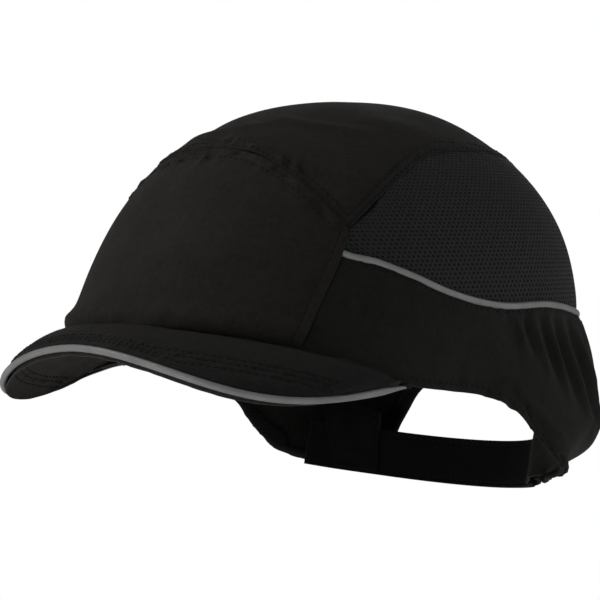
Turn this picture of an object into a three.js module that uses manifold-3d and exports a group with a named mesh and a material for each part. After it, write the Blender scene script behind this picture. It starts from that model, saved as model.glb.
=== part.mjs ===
// A bump cap: a baseball-style fabric cap with a short peak, built over a vented impact shell.
// Millimetres, +Z up. The cap stands on a table on the flat lower edge of its nape strap.
// Fabric, shell and padding are drawn in the wearing frame, where the crown's rim plane is level,
// and that frame is pitched forward onto the table. Front is -Y and the wearer's left is +X.
import * as THREE from 'three';
import { mergeVertices } from 'three/addons/utils/BufferGeometryUtils.js';
import Module from 'manifold-3d';

const wasm = await Module();
wasm.setup();

// ---------------------------------------------------------------- driving dimensions
// Crown, in the wearing frame
const HALF_WIDTH = 93; // rim plane to each side
const FRONT_REACH = 107.5;
const BACK_REACH = 110.7;
const PLAN_POWER = 2.41; // squareness of the plan outline, 2 is an ellipse
const CROWN_HEIGHT = 97.4; // above the middle of the peak's seam
const CROWN_POWER = 2.17; // fullness of the crown's side profile
const TOP_SET_BACK = 2.2; // how far the top of the crown sits behind its middle
const BROW_FLARE = 0.106; // share of the radius that the front panel stands out at the brow
const NAPE_FLARE = 0.26; // the same for the skirt, growing downwards beside the nape
const NAPE_FLARE_ANGLE = 130; // degrees from the front where it is largest
const SKIRT_SCALE = 97.4; // millimetres of skirt for one radian of profile angle

// How the cap stands
const SEAT_PITCH = 13.8; // degrees, nose down
const SEAT_LIFT = 58;
const SEAT_SHIFT = 11.5; // brings the middle of the footprint over the origin

// Layers, as insets from the outer face of the fabric
const FABRIC = [0, 1.4];
const EDGE_TAPE = [2.3, 3.3];
const SHELL = [2.7, 4.9];
const SWEATBAND = [6, 8];
const PADDING = [6.2, 12];
const GAP = 0.3; // between pieces that touch

// Seams, as angle from the front in degrees and height above the rim plane
const CORNER_ANGLE = 51.8; // where front, crown, mesh and side panels meet
const CORNER_HEIGHT = 38.2;
const FRONT_TOP = 74.3;
const CROWN_SEAM_TOP = 72;
const CROWN_SEAM_BACK = 67;
const SIDE_SEAM_FOOT = 41.3;
const SEAM_BOW = 0.9; // degrees
const JUNCTION_DROP = 21.35; // fall of the peak's seam at 60 degrees from the front
const PEAK_END = 65.4; // where the peak runs out into the rim

// Peak
const PEAK_HALF_WIDTH = 98.3;
const PEAK_FRONT = 141.6;
const PEAK_MIDDLE = 76.7;
const PEAK_POWER = 2.68;
const PEAK_DIP = 7.3; // front edge below the seam
const PEAK_DROOP = 25.6; // further fall to the sides
const DROOP_POWER = 1.85;
const CORNER_PULL = 6.5;
const PEAK_CROWNING = 2.2;
const BOARD_HALF = 0.8;
const COVER = [1.8, 2.6];
const PIPING_RADIUS = 1.75;
const PIPING_TUCK = 2.2; // covers stop this far inside the edge

// Nape strap, about a vertical axis, with angles from the back towards the wearer's left
const STRAP_AXIS_Y = 21.5;
const STRAP_HEIGHT = 22;
const TAIL_RADIUS = 88.6; // outer face of the tails where they close onto the strap
const LOOP_STRAP = [81.6, 83.0];
const LOOP_PATCH = [83.3, 83.9];
const HOOK_PATCH = [84.2, 84.8];
const HOOK_TAB = [85.1, 86.5];
const TAB_SEAM = 33; // degrees, where the tab is sewn to its base
const RIGHT_SEAM_RADIUS = 85.4; // where the loop strap meets the right tail

const rad = THREE.MathUtils.degToRad;
const clamp = THREE.MathUtils.clamp;
const lerp = THREE.MathUtils.lerp;
const smooth = (x) => THREE.MathUtils.smoothstep(x, 0, 1);

// ---------------------------------------------------------------- the outer surface
function planRadius(phi) {
  const back = Math.cos(phi) > 0 ? FRONT_REACH : BACK_REACH;
  const across = Math.abs(Math.sin(phi) / HALF_WIDTH) ** PLAN_POWER;
  const along = Math.abs(Math.cos(phi) / back) ** PLAN_POWER;
  return (across + along) ** (-1 / PLAN_POWER);
}

// Profile angle: 0 at the top of the crown, a quarter turn at the rim plane, more on the skirt.
function profileAngle(z) {
  if (z <= 0) return Math.PI / 2 - z / SKIRT_SCALE;
  return Math.acos(clamp(z / CROWN_HEIGHT, 0, 1) ** (CROWN_POWER / 2));
}

function profileHeight(tau) {
  if (tau >= Math.PI / 2) return (Math.PI / 2 - tau) * SKIRT_SCALE;
  return CROWN_HEIGHT * Math.max(Math.cos(tau), 0) ** (2 / CROWN_POWER);
}

// Radius, in the wearing frame, of the upright cylinder that the tails close onto.
function tailRadius(phi, z) {
  const pitch = rad(SEAT_PITCH);
  const along = -Math.cos(phi) * Math.cos(pitch);
  const shift = -z * Math.sin(pitch) - STRAP_AXIS_Y;
  const square = Math.sin(phi) ** 2 + along ** 2;
  const root = (along * shift) ** 2 - square * (shift ** 2 - TAIL_RADIUS ** 2);
  return (-along * shift + Math.sqrt(root)) / square;
}

function crownPoint(phi, tau) {
  const z = profileHeight(tau);
  const share = z / CROWN_HEIGHT;
  const face = clamp(Math.cos(phi), 0, 1) ** 1.5;
  const brow = BROW_FLARE * face * clamp(1 - share / 0.6, 0, 1.3) ** 2;
  const turn = THREE.MathUtils.radToDeg(Math.abs(phi));
  const rear = Math.exp(-(((turn - NAPE_FLARE_ANGLE) / 42) ** 2));
  const nape = NAPE_FLARE * rear * Math.min(share, 0) ** 2;
  let radius = planRadius(phi) * (Math.sin(Math.min(tau, Math.PI / 2)) + brow + nape);
  const tuck = smooth((-z - 45) / 30) * smooth((turn - 108) / 22);
  if (tuck > 0) radius = lerp(radius, tailRadius(phi, z), tuck);
  const middle = TOP_SET_BACK * clamp(share, 0, 1);
  return new THREE.Vector3(radius * Math.sin(phi), middle - radius * Math.cos(phi), z);
}

// A point at an angle in degrees and a profile angle, moved inwards along the surface normal.
function layerPoint(angle, tau, inset) {
  const phi = rad(angle);
  const point = crownPoint(phi, tau);
  const step = 0.004;
  if (tau < step) return new THREE.Vector3(0, TOP_SET_BACK, CROWN_HEIGHT - inset);
  const round = crownPoint(phi + step, tau).sub(crownPoint(phi - step, tau));
  const down = crownPoint(phi, tau + step).sub(crownPoint(phi, tau - step));
  const normal = down.cross(round).normalize();
  return point.addScaledVector(normal, -inset);
}

// ---------------------------------------------------------------- seam lines
const junctionHeight = (angle) => 0.1 - JUNCTION_DROP * (angle / 60) ** 2;

function frontTopHeight(angle) {
  const share = Math.abs(angle) / CORNER_ANGLE;
  return FRONT_TOP - (FRONT_TOP - CORNER_HEIGHT) * share ** 3.05;
}

function crownSeamHeight(angle) {
  const turn = Math.abs(angle);
  if (turn < CORNER_ANGLE) return frontTopHeight(turn);
  const level = 108; // degrees, where the seam levels out
  const rise = clamp((level - turn) / (level - CORNER_ANGLE), 0, 1) ** 2.8;
  const fall = (CROWN_SEAM_TOP - CROWN_SEAM_BACK) * smooth((turn - level) / 60);
  return CROWN_SEAM_TOP - (CROWN_SEAM_TOP - CORNER_HEIGHT) * rise - fall;
}

const spline = (points) => new THREE.CatmullRomCurve3(points.map((p) => new THREE.Vector3(...p)));

// Reflective piping between the mesh and the side panel: angle, height
const PIPING_LINE = spline([
  [49.9, 30.4, 0],
  [65.8, 20.1, 0],
  [80, 11, 0],
  [97, 5.6, 0],
  [117, 5.2, 0],
  [137, 0.9, 0],
  [160, -4.5, 0],
  [180, -6.5, 0],
]);

// Lower outline of a side panel: angle, height, and the angle of the piping point above it
const SIDE_OUTLINE = spline([
  [SIDE_SEAM_FOOT, -9.9, 49.9],
  [53, -16.5, 57],
  [65.4, -25.2, 66],
  [77, -28.4, 76],
  [88, -31, 85.5],
  [95.5, -34.8, 92],
  [102, -40.6, 97],
  [106.5, -49.5, 101],
  [111, -57.5, 104.5],
  [115.5, -64.2, 108],
  [122, -69, 112],
  [131, -72.2, 117],
  [139, -74.6, 122],
  [144.6, -73.4, 127.5],
  [146.2, -66, 133],
  [147, -57, 139],
  [149.4, -46.5, 146],
  [153.4, -36, 153],
  [160.5, -28, 161.5],
  [169.6, -23.4, 170.5],
  [180, -22, 180],
]);
const SIDE_COLUMNS = 40; // along the outline
const RIM_START = 4; // column where the peak runs out
const TAPE_END = 19; // column where the rim tape stops, in front of the strap
const ARCH_START = 29; // column just above the strap

function heightOnPiping(angle) {
  let low = 0;
  let high = 1;
  for (let i = 0; i < 24; i += 1) {
    const middle = (low + high) / 2;
    if (PIPING_LINE.getPoint(middle).x < angle) low = middle;
    else high = middle;
  }
  return PIPING_LINE.getPoint(low).y;
}

// ---------------------------------------------------------------- building closed bodies
function solidFrom(points, faces) {
  const geometry = new THREE.BufferGeometry();
  geometry.setAttribute('position', new THREE.Float32BufferAttribute(points.flatMap((p) => [...p]), 3));
  geometry.setIndex(faces.flat());
  return welded(geometry);
}

// Joins equal vertices and drops the slivers that this leaves.
function welded(geometry) {
  geometry.deleteAttribute('normal');
  geometry.deleteAttribute('uv');
  const merged = mergeVertices(geometry, 1e-4);
  const index = merged.getIndex().array;
  const kept = [];
  for (let i = 0; i < index.length; i += 3) {
    const [a, b, c] = [index[i], index[i + 1], index[i + 2]];
    if (a !== b && b !== c && c !== a) kept.push(a, b, c);
  }
  merged.setIndex(kept);
  return merged;
}

// A closed sheet between an outer and an inner face, each a function of u and v in 0..1.
// With ring set, the last column is the first one again.
function sheet(columns, rows, outer, inner, ring = false) {
  const points = [];
  const faces = [];
  const count = ring ? columns : columns + 1;
  const at = (side, i, j) => (side * count + (i % count)) * (rows + 1) + j;
  for (const face of [outer, inner]) {
    for (let i = 0; i < count; i += 1) {
      for (let j = 0; j <= rows; j += 1) points.push(face(i / columns, j / rows));
    }
  }
  const quad = (a, b, c, d) => faces.push([a, b, c], [a, c, d]);
  for (let i = 0; i < columns; i += 1) {
    for (let j = 0; j < rows; j += 1) {
      quad(at(0, i, j), at(0, i + 1, j), at(0, i + 1, j + 1), at(0, i, j + 1));
      quad(at(1, i, j + 1), at(1, i + 1, j + 1), at(1, i + 1, j), at(1, i, j));
    }
    quad(at(0, i + 1, 0), at(0, i, 0), at(1, i, 0), at(1, i + 1, 0));
    quad(at(0, i, rows), at(0, i + 1, rows), at(1, i + 1, rows), at(1, i, rows));
  }
  if (!ring) {
    for (let j = 0; j < rows; j += 1) {
      quad(at(0, 0, j), at(0, 0, j + 1), at(1, 0, j + 1), at(1, 0, j));
      quad(at(0, columns, j + 1), at(0, columns, j), at(1, columns, j), at(1, columns, j + 1));
    }
  }
  return facingOut(solidFrom(points, faces));
}

function facingOut(geometry) {
  const position = geometry.getAttribute('position');
  const index = geometry.getIndex().array;
  const corner = (k) => new THREE.Vector3().fromBufferAttribute(position, index[k]);
  let volume = 0;
  for (let i = 0; i < index.length; i += 3) {
    volume += corner(i).dot(corner(i + 1).cross(corner(i + 2)));
  }
  if (volume < 0) {
    const flipped = [];
    for (let i = 0; i < index.length; i += 3) flipped.push(index[i], index[i + 2], index[i + 1]);
    geometry.setIndex(flipped);
  }
  return geometry;
}

// A layer of the crown: where(u, v) gives an angle in degrees and a profile angle.
function layer(columns, rows, where, [outset, inset], ring = false) {
  const face = (depth) => (u, v) => layerPoint(...where(u, v), depth);
  return sheet(columns, rows, face(outset), face(inset), ring);
}

// The same layer mirrored to the wearer's right.
function mirrored(geometry) {
  const copy = geometry.clone();
  copy.scale(-1, 1, 1);
  return facingOut(copy);
}

// A round bead along a curve, with closed ends.
function bead(curve, radius, steps, sides = 4) {
  const section = new THREE.Shape();
  section.absarc(0, 0, radius, 0, 2 * Math.PI);
  const settings = { steps, curveSegments: sides, extrudePath: curve, bevelEnabled: false };
  return facingOut(welded(new THREE.ExtrudeGeometry(section, settings)));
}

function toSolid(geometry) {
  const vertProperties = new Float32Array(geometry.getAttribute('position').array);
  const triVerts = new Uint32Array(geometry.getIndex().array);
  return new wasm.Manifold(new wasm.Mesh({ numProp: 3, vertProperties, triVerts }));
}

function fromSolid(solid) {
  const mesh = solid.getMesh();
  const geometry = new THREE.BufferGeometry();
  geometry.setAttribute('position', new THREE.BufferAttribute(new Float32Array(mesh.vertProperties), 3));
  geometry.setIndex(Array.from(mesh.triVerts));
  return geometry;
}

// ---------------------------------------------------------------- fabric panels
const SEAM = GAP / 2;
const SIDE_GAP = 0.3; // degrees between each panel and the seam beside the front panel
const PIPING_ROOM = PIPING_RADIUS + 0.8; // panels stop this far from the piping's middle

// The angle of the seam beside the front panel, by profile angle: it bows back below the corner.
function frontEdgeAngle(tau) {
  const low = profileAngle(junctionHeight(SIDE_SEAM_FOOT));
  const high = profileAngle(CORNER_HEIGHT);
  const share = (low - tau) / (low - high);
  return lerp(SIDE_SEAM_FOOT, CORNER_ANGLE, share) + SEAM_BOW * Math.sin(Math.PI * clamp(share, 0, 1) ** 2);
}

// How far a panel's front edge moves so that it follows that seam: nothing from a tenth of its length on.
const towardsSeam = (u, tau, angle) => (frontEdgeAngle(tau) + SIDE_GAP - angle) * (1 - smooth(u / 0.1));

function frontPanel() {
  const lowest = (side) => profileAngle(junctionHeight(SIDE_SEAM_FOOT * side) + 2 * GAP);
  const highest = (side) => profileAngle(frontTopHeight(CORNER_ANGLE * side) - SEAM);
  const where = (u, v) => {
    const side = 2 * u - 1;
    const edge = frontEdgeAngle(lerp(lowest(1), highest(1), v)) - SIDE_GAP;
    return [edge * side, lerp(lowest(side), highest(side), v)];
  };
  return layer(18, 7, where, FABRIC);
}

function crownPanel() {
  const where = (u, v) => {
    const angle = 360 * u - 180;
    const seam = profileAngle(crownSeamHeight(angle) + 2 * SEAM);
    return [angle, seam * (1 - v)];
  };
  return layer(48, 7, where, FABRIC, true);
}

function meshPanel() {
  const where = (u, v) => {
    const angle = lerp(CORNER_ANGLE, 180 - 0.1, u ** 1.15);
    const start = frontEdgeAngle(profileAngle(PIPING_LINE.getPoint(0).y));
    const under = angle + (start - CORNER_ANGLE) * (1 - smooth(u / 0.1));
    const low = profileAngle(heightOnPiping(under) + PIPING_ROOM);
    const high = profileAngle(crownSeamHeight(angle) - 2 * SEAM);
    const tau = lerp(low, high, v);
    return [angle + towardsSeam(u, tau, CORNER_ANGLE), tau];
  };
  return layer(18, 6, where, FABRIC);
}

// Where a side panel is at share u of its outline and share v from the rim to the piping.
function onSidePanel(u, v) {
  const { x: footAngle, y: foot, z: headAngle } = SIDE_OUTLINE.getPoint(u);
  const angle = lerp(footAngle, headAngle, v);
  const head = heightOnPiping(headAngle) - PIPING_ROOM;
  return [angle, lerp(profileAngle(foot), profileAngle(head), v)];
}

function sidePanel() {
  const where = (u, v) => {
    const [angle, tau] = onSidePanel(u, v ** 1.2);
    const [front] = onSidePanel(0, v ** 1.2);
    return [Math.min(angle + towardsSeam(u, tau, front), 180 - 0.1), tau];
  };
  return layer(SIDE_COLUMNS, 7, where, FABRIC);
}

function sidePiping() {
  const centre = [];
  const beads = 24;
  for (let i = 0; i <= beads; i += 1) {
    const { x: angle, y: height } = PIPING_LINE.getPoint(i / beads);
    centre.push(layerPoint(Math.min(angle + 1.1, 179.2), profileAngle(height), 0.4));
  }
  return bead(new THREE.CatmullRomCurve3(centre), PIPING_RADIUS, 32);
}

// Woven tape inside the rim, from the end of the peak round the tail to the arch.
function rimTape() {
  const width = 10;
  const where = (u, v) => {
    const along = lerp(RIM_START, TAPE_END, u) / SIDE_COLUMNS;
    const { y: foot, z: headAngle } = SIDE_OUTLINE.getPoint(along);
    const tall = heightOnPiping(headAngle) - foot;
    return onSidePanel(along, (0.8 + width * v) / tall);
  };
  return layer(TAPE_END - RIM_START, 2, where, EDGE_TAPE);
}

// Binding round the half-moon opening, one piece from tail to tail.
function archBinding() {
  const radius = 1.5;
  const half = [];
  for (let i = ARCH_START; i <= SIDE_COLUMNS; i += 1) {
    const along = i / SIDE_COLUMNS;
    const edgeAt = (u, inset) => layerPoint(...onSidePanel(Math.min(u, 1), 0), inset);
    const tangent = edgeAt(along + 0.005, 0.7).sub(edgeAt(along - 0.005, 0.7));
    const inwards = edgeAt(along, 1.7).sub(edgeAt(along, 0.7));
    const away = inwards.cross(tangent).normalize();
    half.push(edgeAt(along, 0.7).addScaledVector(away, radius + 2 * GAP));
  }
  half.at(-1).x = 0;
  const other = half.slice(0, -1).map((p) => new THREE.Vector3(-p.x, p.y, p.z)).reverse();
  return bead(new THREE.CatmullRomCurve3([...half, ...other]), radius, 44);
}

// Tape over the seam where the two halves meet at the back.
function backSeamTape() {
  const where = (u, v) => [lerp(177, 183, u), lerp(profileAngle(-20), profileAngle(-1), v)];
  return layer(2, 3, where, [2.5, 3.3]);
}

// ---------------------------------------------------------------- inside the cap
function sweatband() {
  const end = 103;
  const width = 31;
  const rimHeight = (angle) => {
    const turn = Math.abs(angle);
    if (turn < PEAK_END) return junctionHeight(turn);
    return -25.2 - 5.8 * ((turn - PEAK_END) / 22.6) - 10.2 * Math.max((turn - 92) / 11, 0) ** 2;
  };
  const where = (u, v) => {
    const angle = lerp(-end, end, u);
    const foot = rimHeight(angle) + 2;
    return [angle, profileAngle(lerp(foot, foot + width, v))];
  };
  return layer(32, 3, where, SWEATBAND);
}

function shellFootHeight(angle) {
  return 12 - 10 * clamp(-Math.cos(rad(angle)), 0, 1);
}

// A slot cutter with round ends, standing on the crown's surface.
function slotCutter(angle, height, length, width, lean) {
  const outline = new THREE.Shape();
  const straight = (length - width) / 2;
  outline.absarc(straight, 0, width / 2, -Math.PI / 2, Math.PI / 2);
  outline.absarc(-straight, 0, width / 2, Math.PI / 2, 1.5 * Math.PI);
  const slot = new THREE.ExtrudeGeometry(outline, { depth: 16, curveSegments: 3, bevelEnabled: false });
  slot.translate(0, 0, -8);
  slot.rotateZ(rad(lean));
  const tau = profileAngle(height);
  const seat = layerPoint(angle, tau, (SHELL[0] + SHELL[1]) / 2);
  const out = layerPoint(angle, tau, 0).sub(seat).normalize();
  const round = new THREE.Vector3(0, 0, 1).cross(out).normalize();
  const up = out.clone().cross(round);
  slot.applyMatrix4(new THREE.Matrix4().makeBasis(round, up, out).setPosition(seat));
  return facingOut(welded(slot));
}

function impactShell() {
  const where = (u, v) => {
    const angle = 360 * u - 180;
    return [angle, profileAngle(shellFootHeight(angle)) * (1 - v)];
  };
  let shell = toSolid(layer(44, 8, where, SHELL, true));
  const sideSlots = [68, 88, 108, 128];
  for (const side of [-1, 1]) {
    for (const angle of sideSlots) {
      shell = shell.subtract(toSolid(slotCutter(side * angle, 45, 26, 6, 90 - side * 12)));
      shell = shell.subtract(toSolid(slotCutter(side * (angle + 4), 78, 18, 6, 90 - side * 12)));
    }
    shell = shell.subtract(toSolid(slotCutter(side * 18, 84, 18, 6, 90)));
    shell = shell.subtract(toSolid(slotCutter(side * 162, 70, 22, 6, 90)));
  }
  return fromSolid(shell);
}

// A foam pad over a stretch of angles and heights, with rounded outline.
function pad(from, to, low, high) {
  const where = (u, v) => {
    const inwards = 0.12 * Math.abs(2 * v - 1) ** 3;
    const angle = lerp(from, to, lerp(inwards, 1 - inwards, u));
    const squeeze = 0.08 * Math.abs(2 * u - 1) ** 3;
    return [angle, lerp(profileAngle(low), profileAngle(high), lerp(squeeze, 1 - squeeze, v))];
  };
  return layer(8, 4, where, PADDING);
}

function crownPad() {
  const where = (u, v) => [360 * u, profileAngle(88) * (1 - v)];
  return layer(20, 2, where, PADDING, true);
}

function careLabel() {
  const where = (u, v) => [lerp(-86, -79, u), lerp(profileAngle(-27.5), profileAngle(-2), v)];
  return layer(2, 4, where, [8.5, 8.9]);
}

// ---------------------------------------------------------------- peak
// Across the peak, t runs from -1 at the wearer's right to 1 at the left.
function peakRoot(t) {
  const angle = PEAK_END * t;
  return layerPoint(angle, profileAngle(junctionHeight(angle)), -0.8);
}

function peakEdge(t) {
  const turn = (Math.PI / 2) * Math.abs(t) ** 1.34;
  const across = Math.sin(turn) ** (2 / PEAK_POWER);
  const ahead = Math.cos(turn) ** (2 / PEAK_POWER);
  const x = PEAK_HALF_WIDTH * across;
  const y = -PEAK_MIDDLE - (PEAK_FRONT - PEAK_MIDDLE) * ahead;
  const z = -PEAK_DIP - PEAK_DROOP * across ** DROOP_POWER;
  const end = peakRoot(1);
  const pull = Math.abs(t) ** CORNER_PULL;
  const point = new THREE.Vector3(
    x + (end.x - PEAK_HALF_WIDTH) * pull,
    y + (end.y + PEAK_MIDDLE) * pull,
    z + (end.z + PEAK_DIP + PEAK_DROOP) * pull,
  );
  if (t < 0) point.x = -point.x;
  return point;
}

function peakPoint(t, w, lift) {
  const on = (a, b) => {
    const point = peakRoot(a).lerp(peakEdge(a), b);
    point.z += PEAK_CROWNING * 4 * b * (1 - b);
    return point;
  };
  const step = 0.01;
  const along = on(t + step, w).sub(on(t - step, w));
  const out = on(t, w + step).sub(on(t, w - step));
  const normal = out.cross(along).normalize();
  return on(t, w).addScaledVector(normal, normal.z < 0 ? -lift : lift);
}

// A layer of the peak that stops at |t| = end and the given distance inside the edge.
function peakLayer(end, inside, [low, high]) {
  const face = (lift) => (u, v) => {
    const t = end * (2 * u - 1);
    const width = peakEdge(t).distanceTo(peakRoot(t));
    const start = 0.2 / width;
    return peakPoint(t, lerp(start, Math.max(1 - inside / width, 0.4), v), lift);
  };
  return sheet(30, 3, face(high), face(low));
}

function peakPiping() {
  const points = [];
  const steps = 36;
  for (let i = 0; i <= steps; i += 1) {
    const t = 0.985 * ((2 * i) / steps - 1);
    points.push(peakEdge(t));
  }
  return bead(new THREE.CatmullRomCurve3(points), PIPING_RADIUS, 60);
}

// ---------------------------------------------------------------- nape strap
// An upright curved band. radiusAt(angle) gives its inner radius.
function band(from, to, [inner, outer], low, high, radiusAt = () => inner) {
  const face = (extra) => (u, v) => {
    const angle = lerp(from, to, u);
    const radius = radiusAt(angle) + extra;
    const turn = rad(angle);
    const y = STRAP_AXIS_Y + radius * Math.cos(turn);
    return new THREE.Vector3(radius * Math.sin(turn), y, lerp(low, high, v));
  };
  const columns = Math.max(3, Math.round(Math.abs(to - from) / 5));
  return sheet(columns, 1, face(outer - inner), face(0));
}

function loopStrap() {
  const radiusAt = (angle) => {
    return lerp(LOOP_STRAP[0], RIGHT_SEAM_RADIUS, smooth((-angle - 36) / 22));
  };
  return band(-62, 48, LOOP_STRAP, 0, STRAP_HEIGHT, radiusAt);
}

// ---------------------------------------------------------------- materials and assembly
const material = (color, roughness, metalness = 0) => {
  return new THREE.MeshStandardMaterial({ color, roughness, metalness });
};
const shellFabric = material(0x22211f, 0.85);
const sideFabric = material(0x1f1f1d, 0.85);
const meshFabric = material(0x1d1d1d, 0.9);
const reflective = material(0x8c8f92, 0.45);
const binding = material(0x181817, 0.8);
const boardPlastic = material(0x2a2a2c, 0.6);
const impactPlastic = material(0x232427, 0.5);
const foam = material(0x303236, 0.95);
const towelling = material(0x1a1a1b, 0.95);
const webbing = material(0x141617, 0.85);
const loopPile = material(0x17191a, 1.0);
const hookPile = material(0x1e2021, 0.7);
const labelCloth = material(0xb8b8b4, 0.8);

function piece(name, geometry, finish) {
  geometry.computeVertexNormals();
  const mesh = new THREE.Mesh(geometry, finish);
  mesh.name = name;
  return mesh;
}

function pair(parent, name, geometry, finish) {
  parent.add(piece(`${name}_left`, geometry, finish));
  parent.add(piece(`${name}_right`, mirrored(geometry), finish));
}

function wornParts() {
  const worn = new THREE.Group();
  worn.add(piece('front_panel', frontPanel(), shellFabric));
  worn.add(piece('crown_panel', crownPanel(), shellFabric));
  pair(worn, 'mesh_panel', meshPanel(), meshFabric);
  pair(worn, 'side_panel', sidePanel(), sideFabric);
  pair(worn, 'side_piping', sidePiping(), reflective);
  pair(worn, 'rim_tape', rimTape(), binding);
  worn.add(piece('arch_binding', archBinding(), binding));
  worn.add(piece('back_seam_tape', backSeamTape(), binding));

  worn.add(piece('peak_board', peakLayer(0.93, 4.2, [-BOARD_HALF, BOARD_HALF]), boardPlastic));
  worn.add(piece('peak_upper_cover', peakLayer(0.965, PIPING_TUCK, COVER), shellFabric));
  const under = [-COVER[1], -COVER[0]];
  worn.add(piece('peak_under_cover', peakLayer(0.965, PIPING_TUCK, under), shellFabric));
  worn.add(piece('peak_piping', peakPiping(), reflective));

  worn.add(piece('sweatband', sweatband(), towelling));
  worn.add(piece('impact_shell', impactShell(), impactPlastic));
  worn.add(piece('pad_crown', crownPad(), foam));
  worn.add(piece('pad_front', pad(-34, 34, 37, 70), foam));
  pair(worn, 'pad_side', pad(58, 112, 24, 62), foam);
  worn.add(piece('pad_rear', pad(146, 214, 14, 60), foam));
  worn.add(piece('care_label', careLabel(), labelCloth));

  worn.rotation.x = rad(SEAT_PITCH);
  worn.position.z = SEAT_LIFT;
  return worn;
}

function napeParts() {
  const nape = new THREE.Group();
  nape.add(piece('loop_strap', loopStrap(), webbing));
  nape.add(piece('loop_patch', band(-26, 30, LOOP_PATCH, 2, STRAP_HEIGHT - 2), loopPile));
  nape.add(piece('strap_base', band(TAB_SEAM + 0.3, 60, HOOK_TAB, 1, STRAP_HEIGHT - 1), webbing));
  nape.add(piece('hook_tab', band(-20, TAB_SEAM, HOOK_TAB, 0.5, STRAP_HEIGHT - 0.5), webbing));
  nape.add(piece('hook_patch', band(-19, 18, HOOK_PATCH, 2.5, STRAP_HEIGHT - 2.5), hookPile));
  return nape;
}

const bumpCap = new THREE.Group();
bumpCap.add(wornParts(), napeParts());
bumpCap.position.y = SEAT_SHIFT;

export default bumpCap;
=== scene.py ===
"""Looks for a bump cap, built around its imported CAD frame.

Shapes are worked out in millimetres in the wearing frame, where the crown's rim plane is level,
and placed() turns them into the row's frame in metres. Front is -Y, the wearer's left is +X.
Angles run from 0 at the front to 90 at the wearer's left; heights are above the rim plane.
"""
import math

import bpy
import numpy as np
from mathutils import Matrix, Vector


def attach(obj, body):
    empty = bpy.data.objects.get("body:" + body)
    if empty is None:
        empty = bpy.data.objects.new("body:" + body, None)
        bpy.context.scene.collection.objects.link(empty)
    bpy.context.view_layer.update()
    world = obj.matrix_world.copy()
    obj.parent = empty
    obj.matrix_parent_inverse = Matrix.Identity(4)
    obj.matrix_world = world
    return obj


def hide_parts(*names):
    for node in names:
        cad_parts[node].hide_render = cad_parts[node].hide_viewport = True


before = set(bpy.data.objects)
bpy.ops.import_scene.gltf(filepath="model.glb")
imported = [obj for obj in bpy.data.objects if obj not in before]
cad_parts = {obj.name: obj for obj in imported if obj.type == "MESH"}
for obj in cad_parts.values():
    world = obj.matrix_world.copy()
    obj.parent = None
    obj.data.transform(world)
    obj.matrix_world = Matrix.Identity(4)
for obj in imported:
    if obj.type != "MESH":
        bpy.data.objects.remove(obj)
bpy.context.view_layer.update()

MM = 0.001

# ---------------------------------------------------------------- dimensions, as in part.mjs
HALF_WIDTH = 93
FRONT_REACH = 107.5
BACK_REACH = 110.7
PLAN_POWER = 2.41
CROWN_HEIGHT = 97.4
CROWN_POWER = 2.17
TOP_SET_BACK = 2.2
BROW_FLARE = 0.106
NAPE_FLARE = 0.26
NAPE_FLARE_ANGLE = 130
NAPE_FLARE_SPREAD = 42
SKIRT_SCALE = 97.4

SEAT_PITCH = 13.8
SEAT_LIFT = 58
SEAT_SHIFT = 11.5

CORNER_ANGLE = 51.8
CORNER_HEIGHT = 38.2
FRONT_TOP = 74.3
CROWN_SEAM_TOP = 72
CROWN_SEAM_BACK = 67
CROWN_SEAM_LEVEL = 108
SIDE_SEAM_FOOT = 41.3
SEAM_BOW = 0.9
JUNCTION_DROP = 21.35
PEAK_END = 65.4

PEAK_HALF_WIDTH = 98.3
PEAK_FRONT = 141.6
PEAK_MIDDLE = 76.7
PEAK_POWER = 2.68
PEAK_DIP = 7.3
PEAK_DROOP = 25.6
DROOP_POWER = 1.85
CORNER_PULL = 6.5
PEAK_CROWNING = 2.2
LAP = 0.9  # how far the knit goes in under the crown's edge
BEAD_RADIUS = 1.45  # what shows of the piping

STRAP_AXIS_Y = 21.5
STRAP_HEIGHT = 22
TAIL_RADIUS = 88.6
LOOP_STRAP = (81.6, 83.0)
LOOP_PATCH = (83.3, 83.9)
HOOK_PATCH = (84.2, 84.8)
HOOK_TAB = (85.1, 86.5)
TAB_SEAM = 33
RIGHT_SEAM_RADIUS = 85.4

# The piping round the sides, as angle and height
PIPING_LINE = [
    (49.9, 30.4), (65.8, 20.1), (80, 11), (97, 5.6), (117, 5.2), (137, 0.9), (160, -4.5), (180, -6.5),
]
# Lower outline of a side panel: angle, height, and the angle of the piping point above it
SIDE_OUTLINE = [
    (SIDE_SEAM_FOOT, -9.9, 49.9), (53, -16.5, 57), (65.4, -25.2, 66), (77, -28.4, 76),
    (88, -31, 85.5), (95.5, -34.8, 92), (102, -40.6, 97), (106.5, -49.5, 101),
    (111, -57.5, 104.5), (115.5, -64.2, 108), (122, -69, 112), (131, -72.2, 117),
    (139, -74.6, 122), (144.6, -73.4, 127.5), (146.2, -66, 133), (147, -57, 139),
    (149.4, -46.5, 146), (153.4, -36, 153), (160.5, -28, 161.5), (169.6, -23.4, 170.5),
    (180, -22, 180),
]
SIDE_COLUMNS = 40
RIM_START = 4 / SIDE_COLUMNS
TAPE_END = 19 / SIDE_COLUMNS
ARCH_START = 29 / SIDE_COLUMNS
BACK_END = 179.98  # just short of the middle of the back
HEM_ROLL = (0.3, 0.6)  # shares of a side panel's outline
WORDS = {1: "left", -1: "right"}


# ---------------------------------------------------------------- small maths


def smooth(x):
    x = np.clip(x, 0, 1)
    return x * x * (3 - 2 * x)


def lerp(a, b, t):
    return a + (b - a) * t


def unit(vectors):
    size = np.linalg.norm(vectors, axis=-1, keepdims=True)
    return vectors / np.maximum(size, 1e-9)


def bell(x, width):
    return np.exp(-((x / width) ** 2))


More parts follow.
